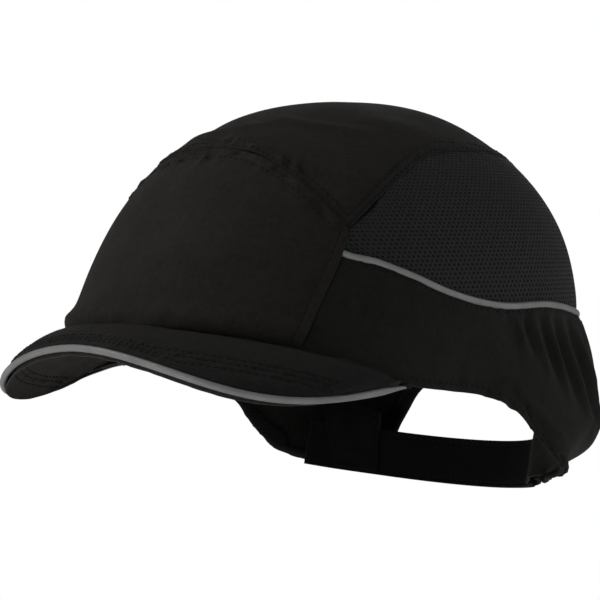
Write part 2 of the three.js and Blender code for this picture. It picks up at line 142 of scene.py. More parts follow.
def catmull_rom(points, share):
    """Points on a centripetal Catmull-Rom curve through the given ones, as three.js draws it."""
    points = np.array(points, float)
    first = 2 * points[0] - points[1]
    last = 2 * points[-1] - points[-2]
    padded = np.vstack([first, points, last])
    place = np.clip(np.asarray(share, float), 0, 1) * (len(points) - 1)
    start = np.minimum(place.astype(int), len(points) - 2)
    t = (place - start)[..., None]
    p0, p1, p2, p3 = (padded[start + k] for k in range(4))
    pairs = ((p0, p1), (p1, p2), (p2, p3))
    d0, d1, d2 = (np.sqrt(np.linalg.norm(b - a, axis=-1, keepdims=True)) for a, b in pairs)
    m1 = ((p1 - p0) / d0 - (p2 - p0) / (d0 + d1) + (p2 - p1) / d1) * d1
    m2 = ((p2 - p1) / d1 - (p3 - p1) / (d1 + d2) + (p3 - p2) / d2) * d1
    curve = (-3 * p1 + 3 * p2 - 2 * m1 - m2) * t**2 + (2 * p1 - 2 * p2 + m1 + m2) * t**3
    return p1 + m1 * t + curve


def through(lines, u):
    """Points at share u across a surface that runs evenly through the given lines."""
    place = np.clip(u, 0, 1) * (len(lines) - 1)
    cell = np.minimum(place.astype(int), len(lines) - 2)
    share = (place - cell)[..., None]
    padded = np.stack([2 * lines[0] - lines[1], *lines, 2 * lines[-1] - lines[-2]])
    pick = lambda k: np.take_along_axis(padded, (cell + k)[None, ..., None], 0)[0]
    before, start, stop, after = (pick(k) for k in range(4))
    bend = (2 * before - 5 * start + 4 * stop - after) * share**2
    bend = bend + (3 * start - before - 3 * stop + after) * share**3
    return start + (stop - before) * share / 2 + bend / 2


def value_noise(x, y, seed):
    """Smooth noise from -1 to 1 with one bump per unit of x and y."""
    size = 64
    table = np.random.default_rng(seed).uniform(-1, 1, (size, size))
    cell_x, cell_y = np.floor(x).astype(int), np.floor(y).astype(int)
    fx, fy = smooth(x - cell_x), smooth(y - cell_y)
    corner = lambda i, j: table[(cell_x + i) % size, (cell_y + j) % size]
    near = lerp(corner(0, 0), corner(1, 0), fx)
    far = lerp(corner(0, 1), corner(1, 1), fx)
    return lerp(near, far, fy)


def resampled(line, step, *others):
    """A line's points again, evenly spaced, with other arrays that go along with it."""
    along = np.concatenate([[0], np.cumsum(np.linalg.norm(np.diff(line, axis=0), axis=1))])
    places = np.arange(step / 2, along[-1], step)
    return [np.stack([np.interp(places, along, a[:, k]) for k in range(3)], 1) for a in (line, *others)]


# ---------------------------------------------------------------- the outer surface


def plan_radius(phi):
    reach = np.where(np.cos(phi) > 0, FRONT_REACH, BACK_REACH)
    across = np.abs(np.sin(phi) / HALF_WIDTH) ** PLAN_POWER
    along = np.abs(np.cos(phi) / reach) ** PLAN_POWER
    return (across + along) ** (-1 / PLAN_POWER)


def profile_angle(z):
    """0 at the top of the crown, a quarter turn at the rim plane and more on the skirt."""
    z = np.asarray(z, float)
    dome = np.arccos(np.clip(z / CROWN_HEIGHT, 0, 1) ** (CROWN_POWER / 2))
    return np.where(z <= 0, math.pi / 2 - z / SKIRT_SCALE, dome)


def profile_height(tau):
    dome = CROWN_HEIGHT * np.maximum(np.cos(tau), 0) ** (2 / CROWN_POWER)
    return np.where(tau >= math.pi / 2, (math.pi / 2 - tau) * SKIRT_SCALE, dome)


def tail_radius(phi, z):
    """Radius of the upright cylinder that the tails close onto."""
    pitch = math.radians(SEAT_PITCH)
    along = -np.cos(phi) * math.cos(pitch)
    shift = -z * math.sin(pitch) - STRAP_AXIS_Y
    square = np.sin(phi) ** 2 + along**2
    root = (along * shift) ** 2 - square * (shift**2 - TAIL_RADIUS**2)
    return (-along * shift + np.sqrt(np.maximum(root, 0))) / square


def crown_point(phi, tau):
    z = profile_height(tau)
    share = z / CROWN_HEIGHT
    brow = BROW_FLARE * np.clip(np.cos(phi), 0, 1) ** 1.5 * np.clip(1 - share / 0.6, 0, 1.3) ** 2
    turn = np.degrees(np.abs(phi))
    nape = NAPE_FLARE * bell(turn - NAPE_FLARE_ANGLE, NAPE_FLARE_SPREAD) * np.minimum(share, 0) ** 2
    radius = plan_radius(phi) * (np.sin(np.minimum(tau, math.pi / 2)) + brow + nape)
    tuck = smooth((-z - 45) / 30) * smooth((turn - 108) / 22)
    radius = lerp(radius, tail_radius(phi, z), tuck)
    middle = TOP_SET_BACK * np.clip(share, 0, 1)
    return np.stack([radius * np.sin(phi), middle - radius * np.cos(phi), z], -1)


def crown_normal(phi, tau):
    step = 0.004
    tau = np.maximum(tau, step * 2)
    round_ = crown_point(phi + step, tau) - crown_point(phi - step, tau)
    down = crown_point(phi, tau + step) - crown_point(phi, tau - step)
    return unit(np.cross(down, round_))


def on_crown(angle, tau, inset=0):
    """A point at an angle in degrees and a profile angle, moved in along the normal."""
    phi = np.radians(angle)
    inset = np.asarray(inset, float)[..., None]
    return crown_point(phi, tau) - inset * crown_normal(phi, tau)


# How the soft cap has given way from its even pattern: middle, reach and shift of each place
SETTLING = [
    ((-84, -120, -26), 34, (0, 0, -2.7)),
    ((-96, -52, -26), 30, (0, 0, 6.6)),
]


def settled(points):
    """The points after the uneven give of the cloth, most of it on the wearer's right."""
    moved = np.array(points, float)
    for middle, reach, shift in SETTLING:
        away = np.linalg.norm(points - np.array(middle), axis=-1)
        moved = moved + bell(away, reach)[..., None] * np.array(shift)
    return moved


def placed(points):
    """Millimetres in the wearing frame to metres in the row's frame."""
    turn = np.array(Matrix.Rotation(math.radians(SEAT_PITCH), 3, "X"))
    return (settled(np.asarray(points)) @ turn.T + np.array([0, SEAT_SHIFT, SEAT_LIFT])) * MM


def placed_nape(points):
    """The same for the strap parts, which are drawn without the tilt."""
    return (points + np.array([0, SEAT_SHIFT, 0])) * MM


# ---------------------------------------------------------------- seam lines


def junction_height(angle):
    return 0.1 - JUNCTION_DROP * (angle / 60) ** 2


def front_top_height(angle):
    share = np.abs(angle) / CORNER_ANGLE
    return FRONT_TOP - (FRONT_TOP - CORNER_HEIGHT) * share**3.05


def crown_seam_height(angle):
    turn = np.abs(angle)
    rise = np.clip((CROWN_SEAM_LEVEL - turn) / (CROWN_SEAM_LEVEL - CORNER_ANGLE), 0, 1) ** 2.8
    fall = (CROWN_SEAM_TOP - CROWN_SEAM_BACK) * smooth((turn - CROWN_SEAM_LEVEL) / 60)
    behind = CROWN_SEAM_TOP - (CROWN_SEAM_TOP - CORNER_HEIGHT) * rise - fall
    return np.where(turn < CORNER_ANGLE, front_top_height(np.minimum(turn, CORNER_ANGLE)), behind)


PIPING_SAMPLES = catmull_rom([(a, z, 0) for a, z in PIPING_LINE], np.linspace(0, 1, 400))


def height_on_piping(angle):
    return np.interp(angle, PIPING_SAMPLES[:, 0], PIPING_SAMPLES[:, 1])


def front_edge_angle(tau):
    """Where the seam beside the front panel is at a profile angle."""
    low, high = profile_angle(junction_height(SIDE_SEAM_FOOT)), profile_angle(CORNER_HEIGHT)
    share = (low - tau) / (low - high)
    bow = SEAM_BOW * np.sin(math.pi * np.clip(share, 0, 1) ** 2)
    return lerp(SIDE_SEAM_FOOT, CORNER_ANGLE, share) + bow


def on_side_panel(u, v):
    """Angle and profile angle at share u of the outline and share v from rim to piping."""
    outline = catmull_rom(SIDE_OUTLINE, u)
    foot_angle, foot, head_angle = outline[..., 0], outline[..., 1], outline[..., 2]
    head = height_on_piping(head_angle)
    angle, tau = lerp(foot_angle, head_angle, v), lerp(profile_angle(foot), profile_angle(head), v)
    straight = lerp(SIDE_SEAM_FOOT, PIPING_LINE[0][0], v)
    return angle + (front_edge_angle(tau) - straight) * (1 - smooth(u / 0.1)), tau


# ---------------------------------------------------------------- meshes


def add_piece(name, points, faces, finish, body="cap", uv=None, sharp=None, node=None):
    """A mesh object from points in metres in the row's frame, in place of a CAD node if one is given."""
    mesh = bpy.data.meshes.new(name)
    mesh.from_pydata(np.asarray(points, float).tolist(), [], [tuple(map(int, f)) for f in faces])
    mesh.shade_smooth()
    if sharp is not None:
        mesh.set_sharp_from_angle(angle=math.radians(sharp))
    if uv is not None:
        layer = mesh.uv_layers.new(name="cut")
        corners = np.zeros(len(mesh.loops), np.int32)
        mesh.loops.foreach_get("vertex_index", corners)
        layer.data.foreach_set("uv", np.asarray(uv, np.float32)[corners].ravel())
    mesh.materials.append(finish)
    piece = bpy.data.objects.new(name, mesh)
    bpy.context.scene.collection.objects.link(piece)
    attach(piece, body)
    if node is not None:
        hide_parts(node)
    return piece


def facing_out(points, faces):
    """The faces, turned over if they enclose a negative volume."""
    points = np.asarray(points)
    volume = 0.0
    for face in faces:
        a = points[face[0]]
        for k in range(1, len(face) - 1):
            volume += np.dot(a, np.cross(points[face[k]], points[face[k + 1]]))
    return faces if volume > 0 else [tuple(reversed(face)) for face in faces]


def sheet_faces(columns, rows, ring=False):
    """Faces of a closed sheet whose outer grid comes first and inner grid second."""
    count = columns if ring else columns + 1
    start = count * (rows + 1)
    at = lambda side, i, j: side * start + (i % count) * (rows + 1) + j
    faces = []
    for i in range(columns):
        for j in range(rows):
            faces.append((at(0, i, j), at(0, i + 1, j), at(0, i + 1, j + 1), at(0, i, j + 1)))
            faces.append((at(1, i, j + 1), at(1, i + 1, j + 1), at(1, i + 1, j), at(1, i, j)))
        faces.append((at(0, i + 1, 0), at(0, i, 0), at(1, i, 0), at(1, i + 1, 0)))
        faces.append((at(0, i, rows), at(0, i + 1, rows), at(1, i + 1, rows), at(1, i, rows)))
    if not ring:
        for j in range(rows):
            faces.append((at(0, 0, j), at(0, 0, j + 1), at(1, 0, j + 1), at(1, 0, j)))
            faces.append((at(0, columns, j + 1), at(0, columns, j), at(1, columns, j), at(1, columns, j + 1)))
    return faces


def edge_distances(points):
    """Millimetres from each grid point to the first and last column and the first and last row."""
    def measured(grid, axis):
        steps = np.linalg.norm(np.diff(grid, axis=axis), axis=-1)
        start = np.zeros_like(np.take(steps, [0], axis=axis))
        along = np.cumsum(np.concatenate([start, steps], axis=axis), axis=axis)
        return along, np.take(along, [-1], axis=axis) - along
    return (*measured(points, 0), *measured(points, 1))


def spaced(length, step, rows=(), fine=0.5):
    """Shares from 0 to 1 along a length, close together at both ends and around stitch rows."""
    close = [0, 0.2, 0.5, 0.9, 1.4, 2.0, 2.8]
    marks = set(close) | {length - c for c in close}
    marks |= set(np.linspace(close[-1], length - close[-1], max(2, round(length / step))))
    for row in rows:
        marks |= {row + k * fine for k in (-3, -2, -1, 0, 1, 2, 3)}
    kept = []
    for mark in sorted(m for m in marks if 0 <= m <= length):
        if not kept or mark - kept[-1] > 0.15 or mark == length:
            kept.append(mark)
    return np.array(kept) / length


def outward(where):
    """Base and normals for a panel that lies on the crown and shows its face to the outside."""
    def frame_at(u, v):
        angle, tau = where(u, v)
        return on_crown(angle, tau), crown_normal(np.radians(angle), tau)
    return frame_at


def inward(where, inset):
    """Base and normals for a panel that shows its face to the inside of the cap."""
    def frame_at(u, v):
        angle, tau = where(u, v)
        return on_crown(angle, tau, inset), -crown_normal(np.radians(angle), tau)
    return frame_at


class Panel:
    """A closed sheet of cloth, with relief in millimetres on the face that its normals point to.

    frame_at gives the points and normals of the flat cloth at shares u and v of its sides."""

    def __init__(self, us, vs, frame_at, relief, thickness=1.0, ring=False):
        self.u, self.v = np.meshgrid(us, vs, indexing="ij")
        self.base, self.normals = frame_at(self.u, self.v)
        self.gaps = edge_distances(self.base)
        self.edge = np.minimum.reduce(self.gaps)
        lift, thin = relief(self)
        self.outer = self.base + self.normals * lift[..., None]
        inner = self.base + self.normals * (lift - thickness * thin)[..., None]
        if ring:
            self.outer, inner = self.outer[:-1], inner[:-1]
        self.points = np.concatenate([self.outer.reshape(-1, 3), inner.reshape(-1, 3)])
        self.faces = sheet_faces(len(us) - 1, len(vs) - 1, ring)
        cut = np.stack([self.gaps[0], self.gaps[2]], -1)[: len(self.outer)].reshape(-1, 2)
        self.uv = np.concatenate([cut, cut])

    def row(self, edge, distance, start=0.0, end=1.0, most=0.97):
        """The line on the outer face that keeps this distance from an edge, and its normals.

        Where the panel is narrow, the line keeps within a share of its width, most."""
        number = {"first": 0, "last": 1, "low": 2, "high": 3}[edge]
        gap, outer, normals = self.gaps[number], self.outer, self.normals
        gap, normals = gap[: outer.shape[0]], normals[: outer.shape[0]]
        if number < 2:
            gap, outer, normals = gap.T, outer.transpose(1, 0, 2), normals.transpose(1, 0, 2)
        if number in (1, 3):
            gap, outer, normals = gap[:, ::-1], outer[:, ::-1], normals[:, ::-1]
        line, up = [], []
        for i in range(int(start * (len(gap) - 1)), int(end * (len(gap) - 1)) + 1):
            reach = min(distance, most * gap[i, -1])
            line.append([np.interp(reach, gap[i], outer[i, :, k]) for k in range(3)])
            up.append([np.interp(reach, gap[i], normals[i, :, k]) for k in range(3)])
        return np.array(line), unit(np.array(up))


def add_sheet(name, panel, finish, rows=(), seam="", node=None, body="cap", place=placed):
    """Add a panel as cloth with its rows of stitching.

    Its flat size is the rectangle round its developed shape."""
    piece = add_piece(name, place(panel.points), panel.faces, finish, body, panel.uv, node=node)
    sewn = [stitching(f"stitches_{seam}", rows, body, place)] if rows else []
    across = np.linalg.norm(np.diff(panel.base, axis=0), axis=-1)
    along = np.linalg.norm(np.diff(panel.base, axis=1), axis=-1)
    area = (across[:, 1:] * along[1:] + across[:, :-1] * along[:-1]).sum() / 2
    width, length = across.sum(0).max(), along.sum(1).max()
    area = min(area, width * length)


def rolled(gap, radius=0.6):
    """How far cloth that turns under at a seam drops, by distance from the seam."""
    radius = radius + 0 * gap
    across = radius - np.minimum(gap, radius)
    return np.sqrt(np.maximum(radius**2 - across**2, 0)) - radius


def turned_band(gap, width, height=0.3):
    """The rise over a seam allowance that is folded behind the cloth."""
    return height * (1 - smooth((gap - width) / 1.2))


def stitch_groove(gap, distance, depth=0.28, width=0.7):
    return -depth * bell(gap - distance, width)


def puckers(gap, along, seed, reach=8.0, height=0.35, pitch=5.5):
    """Gathers that a seam pulls into the cloth beside it."""
    coarse = value_noise(along / pitch, gap / 9, seed) * bell(gap, reach)
    fine = value_noise(along / (pitch * 0.42), gap / 5, seed + 1) * bell(gap, reach * 0.45)
    return height * (coarse + 0.45 * fine)


def pinned(gap):
    """Share of a gather's height this far from the seam, which holds both edges together."""
    return 0.12 + 0.88 * smooth((gap - 0.5) / 2.6)


def crease(points, start, end, width, height, lean=0.0):
    """A soft ridge on the crown between two places given as angle and height."""
    share = np.linspace(0, 1, 36)
    angle = lerp(start[0], end[0], share) + lean * np.sin(math.pi * share)
    line = crown_point(np.radians(angle), profile_angle(lerp(start[1], end[1], share)))
    near = np.linalg.norm(points[..., None, :] - line, axis=-1)
    best = near.argmin(-1)
    taper = np.sin(math.pi * np.clip(share[best], 0.02, 0.98)) ** 0.8
    return height * bell(near.min(-1), width) * taper


# ---------------------------------------------------------------- stitching
STITCH_RINGS = ((-1.0, 0.3), (-0.8, 0.85), (0.0, 1.0), (0.8, 0.85), (1.0, 0.3))
STITCH_SIDES = 6
STITCH_LENGTH = 2.5
STITCH_GAP = 0.7
THREAD_RADIUS = 0.32


def stitches(rows):
    """Points and faces of the stitches along rows of (line, normals)."""
    points, faces = [], []
    turn = np.arange(STITCH_SIDES) * 2 * math.pi / STITCH_SIDES
    for line, normals in rows:
        if len(line) < 2:
            continue
        middles, ups = resampled(line, STITCH_LENGTH + STITCH_GAP, normals)
        if len(middles) < 2:
            continue
        ahead = unit(np.gradient(middles, axis=0))
        ups = unit(ups - (ups * ahead).sum(1, keepdims=True) * ahead)
        beside = np.cross(ahead, ups)
        for middle, forward, up, side in zip(middles, ahead, ups, beside):
            first = len(points)
            for place, size in STITCH_RINGS:
                centre = middle + forward * place * STITCH_LENGTH / 2 + up * (0.12 - 0.2 * place**2)
                for a in turn:
                    points.append(centre + THREAD_RADIUS * size * (math.cos(a) * side + math.sin(a) * up))
            for ring in range(len(STITCH_RINGS) - 1):
                for k in range(STITCH_SIDES):
                    start = first + ring * STITCH_SIDES
                    a, b = start + k, start + (k + 1) % STITCH_SIDES
                    faces.append((a, a + STITCH_SIDES, b + STITCH_SIDES, b))
            last = first + (len(STITCH_RINGS) - 1) * STITCH_SIDES
            faces.append(tuple(first + k for k in range(STITCH_SIDES)))
            faces.append(tuple(last + k for k in reversed(range(STITCH_SIDES))))
    return np.array(points), faces


def stitching(name, rows, body="cap", place=placed):
    points, faces = stitches(rows)
    return add_piece(name, place(points), faces, thread, body)


# ---------------------------------------------------------------- tubes


def swept(line, ups, section):
    """A closed tube: the section's points, as (side, up) pairs, carried along a line.

    section is an array for the whole line or a function of the share along it."""
    ahead = unit(np.gradient(line, axis=0))
    ups = unit(ups - (ups * ahead).sum(1, keepdims=True) * ahead)
    beside = np.cross(ahead, ups)
    points, faces = [], []
    count = len(line)
    for i in range(count):
        shape = section(i / (count - 1)) if callable(section) else section
        for side, up in shape:
            points.append(line[i] + beside[i] * side + ups[i] * up)
    sides = len(shape)
    for i in range(count - 1):
        for k in range(sides):
            a, b = i * sides + k, i * sides + (k + 1) % sides
            faces.append((a, b, b + sides, a + sides))
    faces.append(tuple(reversed(range(sides))))
    faces.append(tuple((count - 1) * sides + k for k in range(sides)))
    return np.array(points), facing_out(points, faces)


def round_section(side, up, sides=14):
    turn = np.arange(sides) * 2 * math.pi / sides
    return np.stack([side * np.cos(turn), up * np.sin(turn)], 1)


# ---------------------------------------------------------------- materials


def linear(r, g, b):
    """A colour given as eight-bit display values."""
    part = lambda c: c / 255 / 12.92 if c <= 10 else ((c / 255 + 0.055) / 1.055) ** 2.4
    return (part(r), part(g), part(b), 1.0)


class Finish:
    """A material with a principled surface and short ways to add procedural nodes."""

    def __init__(self, name, color, roughness, **sockets):
        self.made = bpy.data.materials.new(name)
        self.made.use_nodes = True
        self.tree = self.made.node_tree
        self.surface = self.tree.nodes["Principled BSDF"]
        self.surface.inputs["Base Color"].default_value = color
        self.surface.inputs["Roughness"].default_value = roughness
        for socket, value in sockets.items():
            self.surface.inputs[socket.replace("_", " ")].default_value = value
        self.color = color

    def add(self, kind, **settings):
        node = self.tree.nodes.new(kind)
        for name, value in settings.items():
            if name in node.inputs:
                node.inputs[name].default_value = value
            else:
                setattr(node, name, value)
        return node

    def link(self, source, target):
        self.tree.links.new(source, target)

    def math(self, operation, a, b=0.0, c=0.0):
        node = self.add("ShaderNodeMath", operation=operation)
        for socket, value in zip(node.inputs, (a, b, c)):
            if isinstance(value, (int, float)):
                socket.default_value = value
            else:
                self.link(value, socket)
        return node.outputs[0]

    def coordinates(self, kind="Object"):
        return self.add("ShaderNodeTexCoord").outputs[kind]

    def noise(self, scale, detail=3.0, kind="Object", roughness=0.55):
        node = self.add("ShaderNodeTexNoise", Scale=scale, Detail=detail, Roughness=roughness)
        self.link(self.coordinates(kind), node.inputs["Vector"])
        return node.outputs[0]

    def cells(self, scale, kind="Object", feature="F1"):
        node = self.add("ShaderNodeTexVoronoi", feature=feature, Scale=scale)
        self.link(self.coordinates(kind), node.inputs["Vector"])
        return node.outputs["Distance"]

    def cut_axes(self):
        split = self.add("ShaderNodeSeparateXYZ")
        self.link(self.coordinates("UV"), split.inputs[0])
        return split.outputs[0], split.outputs[1]

    def wave(self, along, pitch):
        return self.math("SINE", self.math("MULTIPLY", along, 2 * math.pi / pitch))

    def weave(self, pitch):
        """Plain weave over the cloth's own millimetres."""
        across, along = self.cut_axes()
        return self.math("MULTIPLY", self.wave(across, pitch), self.wave(along, pitch))

    def bump(self, height, distance, strength=1.0, before=None):
        node = self.add("ShaderNodeBump", Strength=strength, Distance=distance)
        self.link(height, node.inputs["Height"])
        if before is not None:
            self.link(before, node.inputs["Normal"])
        self.link(node.outputs[0], self.surface.inputs["Normal"])
        return node.outputs[0]

    def vary_color(self, share, dark, light):
        """Colour between two multiples of the base colour."""
        ramp = self.add("ShaderNodeValToRGB")
        for stop, factor in zip(ramp.color_ramp.elements, (dark, light)):
            stop.color = (*(c * factor for c in self.color[:3]), 1.0)
        ramp.color_ramp.elements[0].position = 0.3
        ramp.color_ramp.elements[1].position = 0.7
        self.link(share, ramp.inputs[0])
        self.link(ramp.outputs[0], self.surface.inputs["Base Color"])

    def vary_roughness(self, share, low, high):
        spread = self.add("ShaderNodeMapRange")
        for name, value in (("From Min", 0.3), ("From Max", 0.7), ("To Min", low), ("To Max", high)):
            spread.inputs[name].default_value = value
        self.link(share, spread.inputs[0])
        self.link(spread.outputs[0], self.surface.inputs["Roughness"])


def cloth_finish(name, color, roughness=0.82, pitch=0.55, slub=900, sheen=0.06, bump=0.00012):
    """Matte woven cloth: weave and slub as bump, and a faint mottle in its colour."""
    finish = Finish(name, color, roughness, Sheen_Weight=sheen, Sheen_Roughness=0.45)
    finish.surface.inputs["Specular IOR Level"].default_value = 0.2
    finish.surface.inputs["Sheen Tint"].default_value = (1.0, 0.96, 0.92, 1.0)
    first = finish.bump(finish.weave(pitch), bump, 0.6)
    second = finish.bump(finish.noise(slub, 4), bump * 2, 0.6, first)
    finish.bump(finish.noise(120, 4, roughness=0.6), 0.0012, 0.35, second)
    finish.vary_color(finish.noise(420, 5, roughness=0.7), 0.68, 1.35)
    finish.vary_roughness(finish.noise(60), roughness - 0.06, min(roughness + 0.08, 1))
    return finish.made


SLOT_PITCH = 2.6
SLOT_ROW = 1.8
SLOT_HALF = (0.9, 0.48)


def mesh_finish(name, color):
    """Warp knit: rows of short slots between the yarns, each row half a pitch along from the last."""
    finish = Finish(name, color, 0.78, Sheen_Weight=0.05, Sheen_Roughness=0.5)
    finish.surface.inputs["Specular IOR Level"].default_value = 0.3
    across, up = finish.cut_axes()
    row = finish.math("DIVIDE", up, SLOT_ROW)
    offset = finish.math("FRACT", finish.math("MULTIPLY", finish.math("FLOOR", row), 0.5))
    column = finish.math("ADD", finish.math("DIVIDE", across, SLOT_PITCH), offset)
    squares = []
    for place, pitch, half in ((column, SLOT_PITCH, SLOT_HALF[0]), (row, SLOT_ROW, SLOT_HALF[1])):
        from_middle = finish.math("SUBTRACT", finish.math("FRACT", place), 0.5)
        squares.append(finish.math("POWER", finish.math("MULTIPLY", from_middle, pitch / half), 2.0))
    reach = finish.math("ADD", *squares)
    uneven = finish.math("MULTIPLY", finish.math("SUBTRACT", finish.noise(420, 3), 0.5), 3.0)
    yarn = finish.math("MINIMUM", finish.math("MULTIPLY", finish.math("ADD", reach, uneven), 0.45), 1.0)
    first = finish.bump(yarn, 0.0007, 1.0)
    finish.bump(finish.noise(1500, 3), 0.0002, 0.6, first)
    # Painted shade: the slots are painted near-black, 0.05 of the base colour, for the dark that shows
    # through the holes between the yarns.
    finish.vary_color(finish.math("MAXIMUM", yarn, 0.0), 0.05, 1.3)
    return finish.made


def reflective_finish(name, color):
    """Glass-bead tape: a grey satin face with fine grain and small creases."""
    finish = Finish(name, color, 0.5, Metallic=0.25)
    finish.surface.inputs["Specular IOR Level"].default_value = 0.4
    first = finish.bump(finish.cells(2600), 0.00006, 0.6)
    finish.bump(finish.noise(180, 4), 0.0002, 0.35, first)
    finish.vary_color(finish.noise(90, 5), 0.86, 1.12)
    finish.vary_roughness(finish.noise(240, 4), 0.42, 0.6)
    return finish.made


def webbing_finish(name, color):
    """Fine ribbed narrow weave."""
    finish = Finish(name, color, 0.75)
    finish.surface.inputs["Specular IOR Level"].default_value = 0.2
    across, _ = finish.cut_axes()
    ribs = finish.wave(across, 0.9)
    first = finish.bump(ribs, 0.00008, 0.5)
    second = finish.bump(finish.weave(0.6), 0.00008, 0.6, first)
    finish.bump(finish.noise(1200, 3), 0.00008, 0.5, second)
    finish.vary_color(finish.noise(350, 4), 0.75, 1.3)
    return finish.made


def pile_finish(name, color, scale=1500, bump=0.0006):
    """Brushed or looped pile, such as towelling and touch fastener."""
    finish = Finish(name, color, 0.95, Sheen_Weight=0.03, Sheen_Roughness=0.35)
    finish.surface.inputs["Specular IOR Level"].default_value = 0.15
    first = finish.bump(finish.cells(scale), bump, 0.8)
    finish.bump(finish.noise(scale * 0.5, 4), bump, 0.6, first)
    finish.vary_color(finish.noise(500, 4), 0.65, 1.4)
    return finish.made


def foam_finish(name, color):
    """Closed-cell foam with a skin of small pits."""
    finish = Finish(name, color, 0.9)
    first = finish.bump(finish.cells(900), 0.0003, 0.7)
    finish.bump(finish.noise(120, 3), 0.0005, 0.4, first)
    finish.vary_color(finish.noise(200, 4), 0.8, 1.2)
    return finish.made


def plastic_finish(name, color, roughness):
    """Moulded plastic with a fine spark-eroded grain and faint flow marks."""
    finish = Finish(name, color, roughness)
    finish.bump(finish.noise(1400, 4), 0.00006, 0.5)
    finish.vary_color(finish.noise(40, 3), 0.9, 1.1)
    finish.vary_roughness(finish.noise(180, 4), roughness - 0.08, roughness + 0.12)
    return finish.made


outer_cloth = cloth_finish("outer_cloth", linear(34, 32, 30))
# Painted shade: a darker copy of the outer cloth, which stands for the outer cloth in shade on the left
# tail's lining; the side panels and hem rolls use it as well.
side_cloth = cloth_finish("side_cloth", linear(27, 26, 24))
peak_cloth = cloth_finish("peak_cloth", linear(30, 29, 28))
# Painted light: the peak's under cover is the same black cloth, painted about twice as light as the top for
# the light that falls on it from below.
under_cloth_painted_light = cloth_finish("under_cloth_painted_light", linear(66, 61, 57))
tape_cloth = webbing_finish("tape_cloth", linear(10, 11, 10))
knit = mesh_finish("knit", linear(33, 33, 34))
# The thread is black like the cloth and painted darker still: painted shade for the dimples of the stitches.
thread = cloth_finish("thread", linear(15, 15, 14), roughness=0.6, pitch=0.3)
reflective = reflective_finish("reflective", linear(150, 151, 152))
# Black towelling, painted darker still: painted shade for the inside of the cap.
towelling = pile_finish("towelling", linear(8, 9, 9))
foam = foam_finish("foam", linear(28, 29, 31))
# Black webbing, painted darker still: painted shade for the inside of the cap, where the strap lies.
strap_cloth = webbing_finish("strap_cloth", linear(6, 8, 7))
loop_pile = pile_finish("loop_pile", linear(13, 15, 14), 1900, 0.0004)
hook_plastic = plastic_finish("hook_plastic", linear(26, 27, 27), 0.5)
label_satin = cloth_finish("label_satin", linear(14, 17, 16), roughness=0.5, pitch=0.3)
shell_plastic = plastic_finish("shell_plastic", linear(12, 13, 13), 0.5)
board_plastic = plastic_finish("board_plastic", linear(34, 34, 36), 0.6)


# ---------------------------------------------------------------- crown cloth
SEAM = 0.03
TOPSTITCH = 6.0
EDGE_STITCH = 1.6
SIDE_STITCH = 4.6
HEM = 3.2


# Soft creases low on the front panel: from, to (angle, height), width, height in millimetres
FRONT_CREASES = [
    ((-40, 1), (24, 9), 3.2, 0.7),
    ((-30, 12), (30, 17), 5, 0.5),
    ((-42, -6), (10, 4), 2.2, -0.6),
    ((8, 7), (44, -3), 3, 0.6),
    ((20, 1), (46, -9), 2.2, -0.5),
    ((-46, 10), (-20, 2), 2.6, 0.6),
    ((-48, 0), (-30, -2), 1.8, -0.5),
    ((-10, 26), (36, 30), 8, 0.4),
]


FRONT_DEPTH = 92
SIDE_DEPTH = 62


def front_cloth():
    lowest = lambda side: profile_angle(junction_height(SIDE_SEAM_FOOT * side) + 0.2)
    highest = lambda side: profile_angle(front_top_height(CORNER_ANGLE * side) - SEAM)

    def where(u, v):
        side = 2 * u - 1
        edge = front_edge_angle(lerp(lowest(1), highest(1), v)) - 0.02
        return edge * side, lerp(lowest(side), highest(side), v)

    def relief(panel):
        right, left, low, high = panel.gaps
        points = panel.base
        overhang = smooth((np.abs(2 * panel.u - 1) - 0.1) / 0.5)
        lift = rolled(right) + rolled(left) + rolled(low, 1.9 + 2.6 * overhang) + rolled(high)
        lift += turned_band(high, TOPSTITCH) + turned_band(left, 3.4, 0.8) + turned_band(right, 3.4, 0.8)
        lift += overhang * 1.9 * bell(low - 8, 5)
        lift += stitch_groove(high, TOPSTITCH)
        lift += stitch_groove(left, SIDE_STITCH) + stitch_groove(right, SIDE_STITCH)
        lift += puckers(high, right, 11, 7, 2.3, 3.6) * pinned(high)
        lift += puckers(low, right, 21, 10, 0.7, 7.5)
        lift += puckers(left, low, 31, 7, 0.5) + puckers(right, low, 41, 7, 0.5)
        lift += 0.7 * value_noise(right / 30, low / 24, 51) * smooth(low / 16) * smooth(high / 16)
        for start, end, width, height in FRONT_CREASES:
            lift += crease(points, start, end, width, height)
        return lift, 1 - 0.4 * bell(panel.edge, 0.8)

    vs = spaced(FRONT_DEPTH, 1.7, (FRONT_DEPTH - TOPSTITCH,))
    panel = Panel(spaced(190, 1.6), vs, outward(where), relief)
    rows = [panel.row("high", TOPSTITCH, 0.02, 0.98)]
    rows += [panel.row(edge, SIDE_STITCH, 0.03, 0.97) for edge in ("first", "last")]
    add_sheet("front_cloth", panel, outer_cloth, rows, "front",
              "front_panel")


# Creases on the crown, given in the same way
CROWN_CREASES = [
    ((-34, 80), (24, 86), 3.4, 1.5),
    ((0, 84), (46, 62), 4, 1.5),
    ((20, 80), (54, 52), 3.4, -1.2),
    ((8, 90), (70, 78), 3.4, 1.3),
    ((-10, 90), (-60, 78), 6, -0.8),
    ((60, 88), (100, 80), 8, 0.9),
]


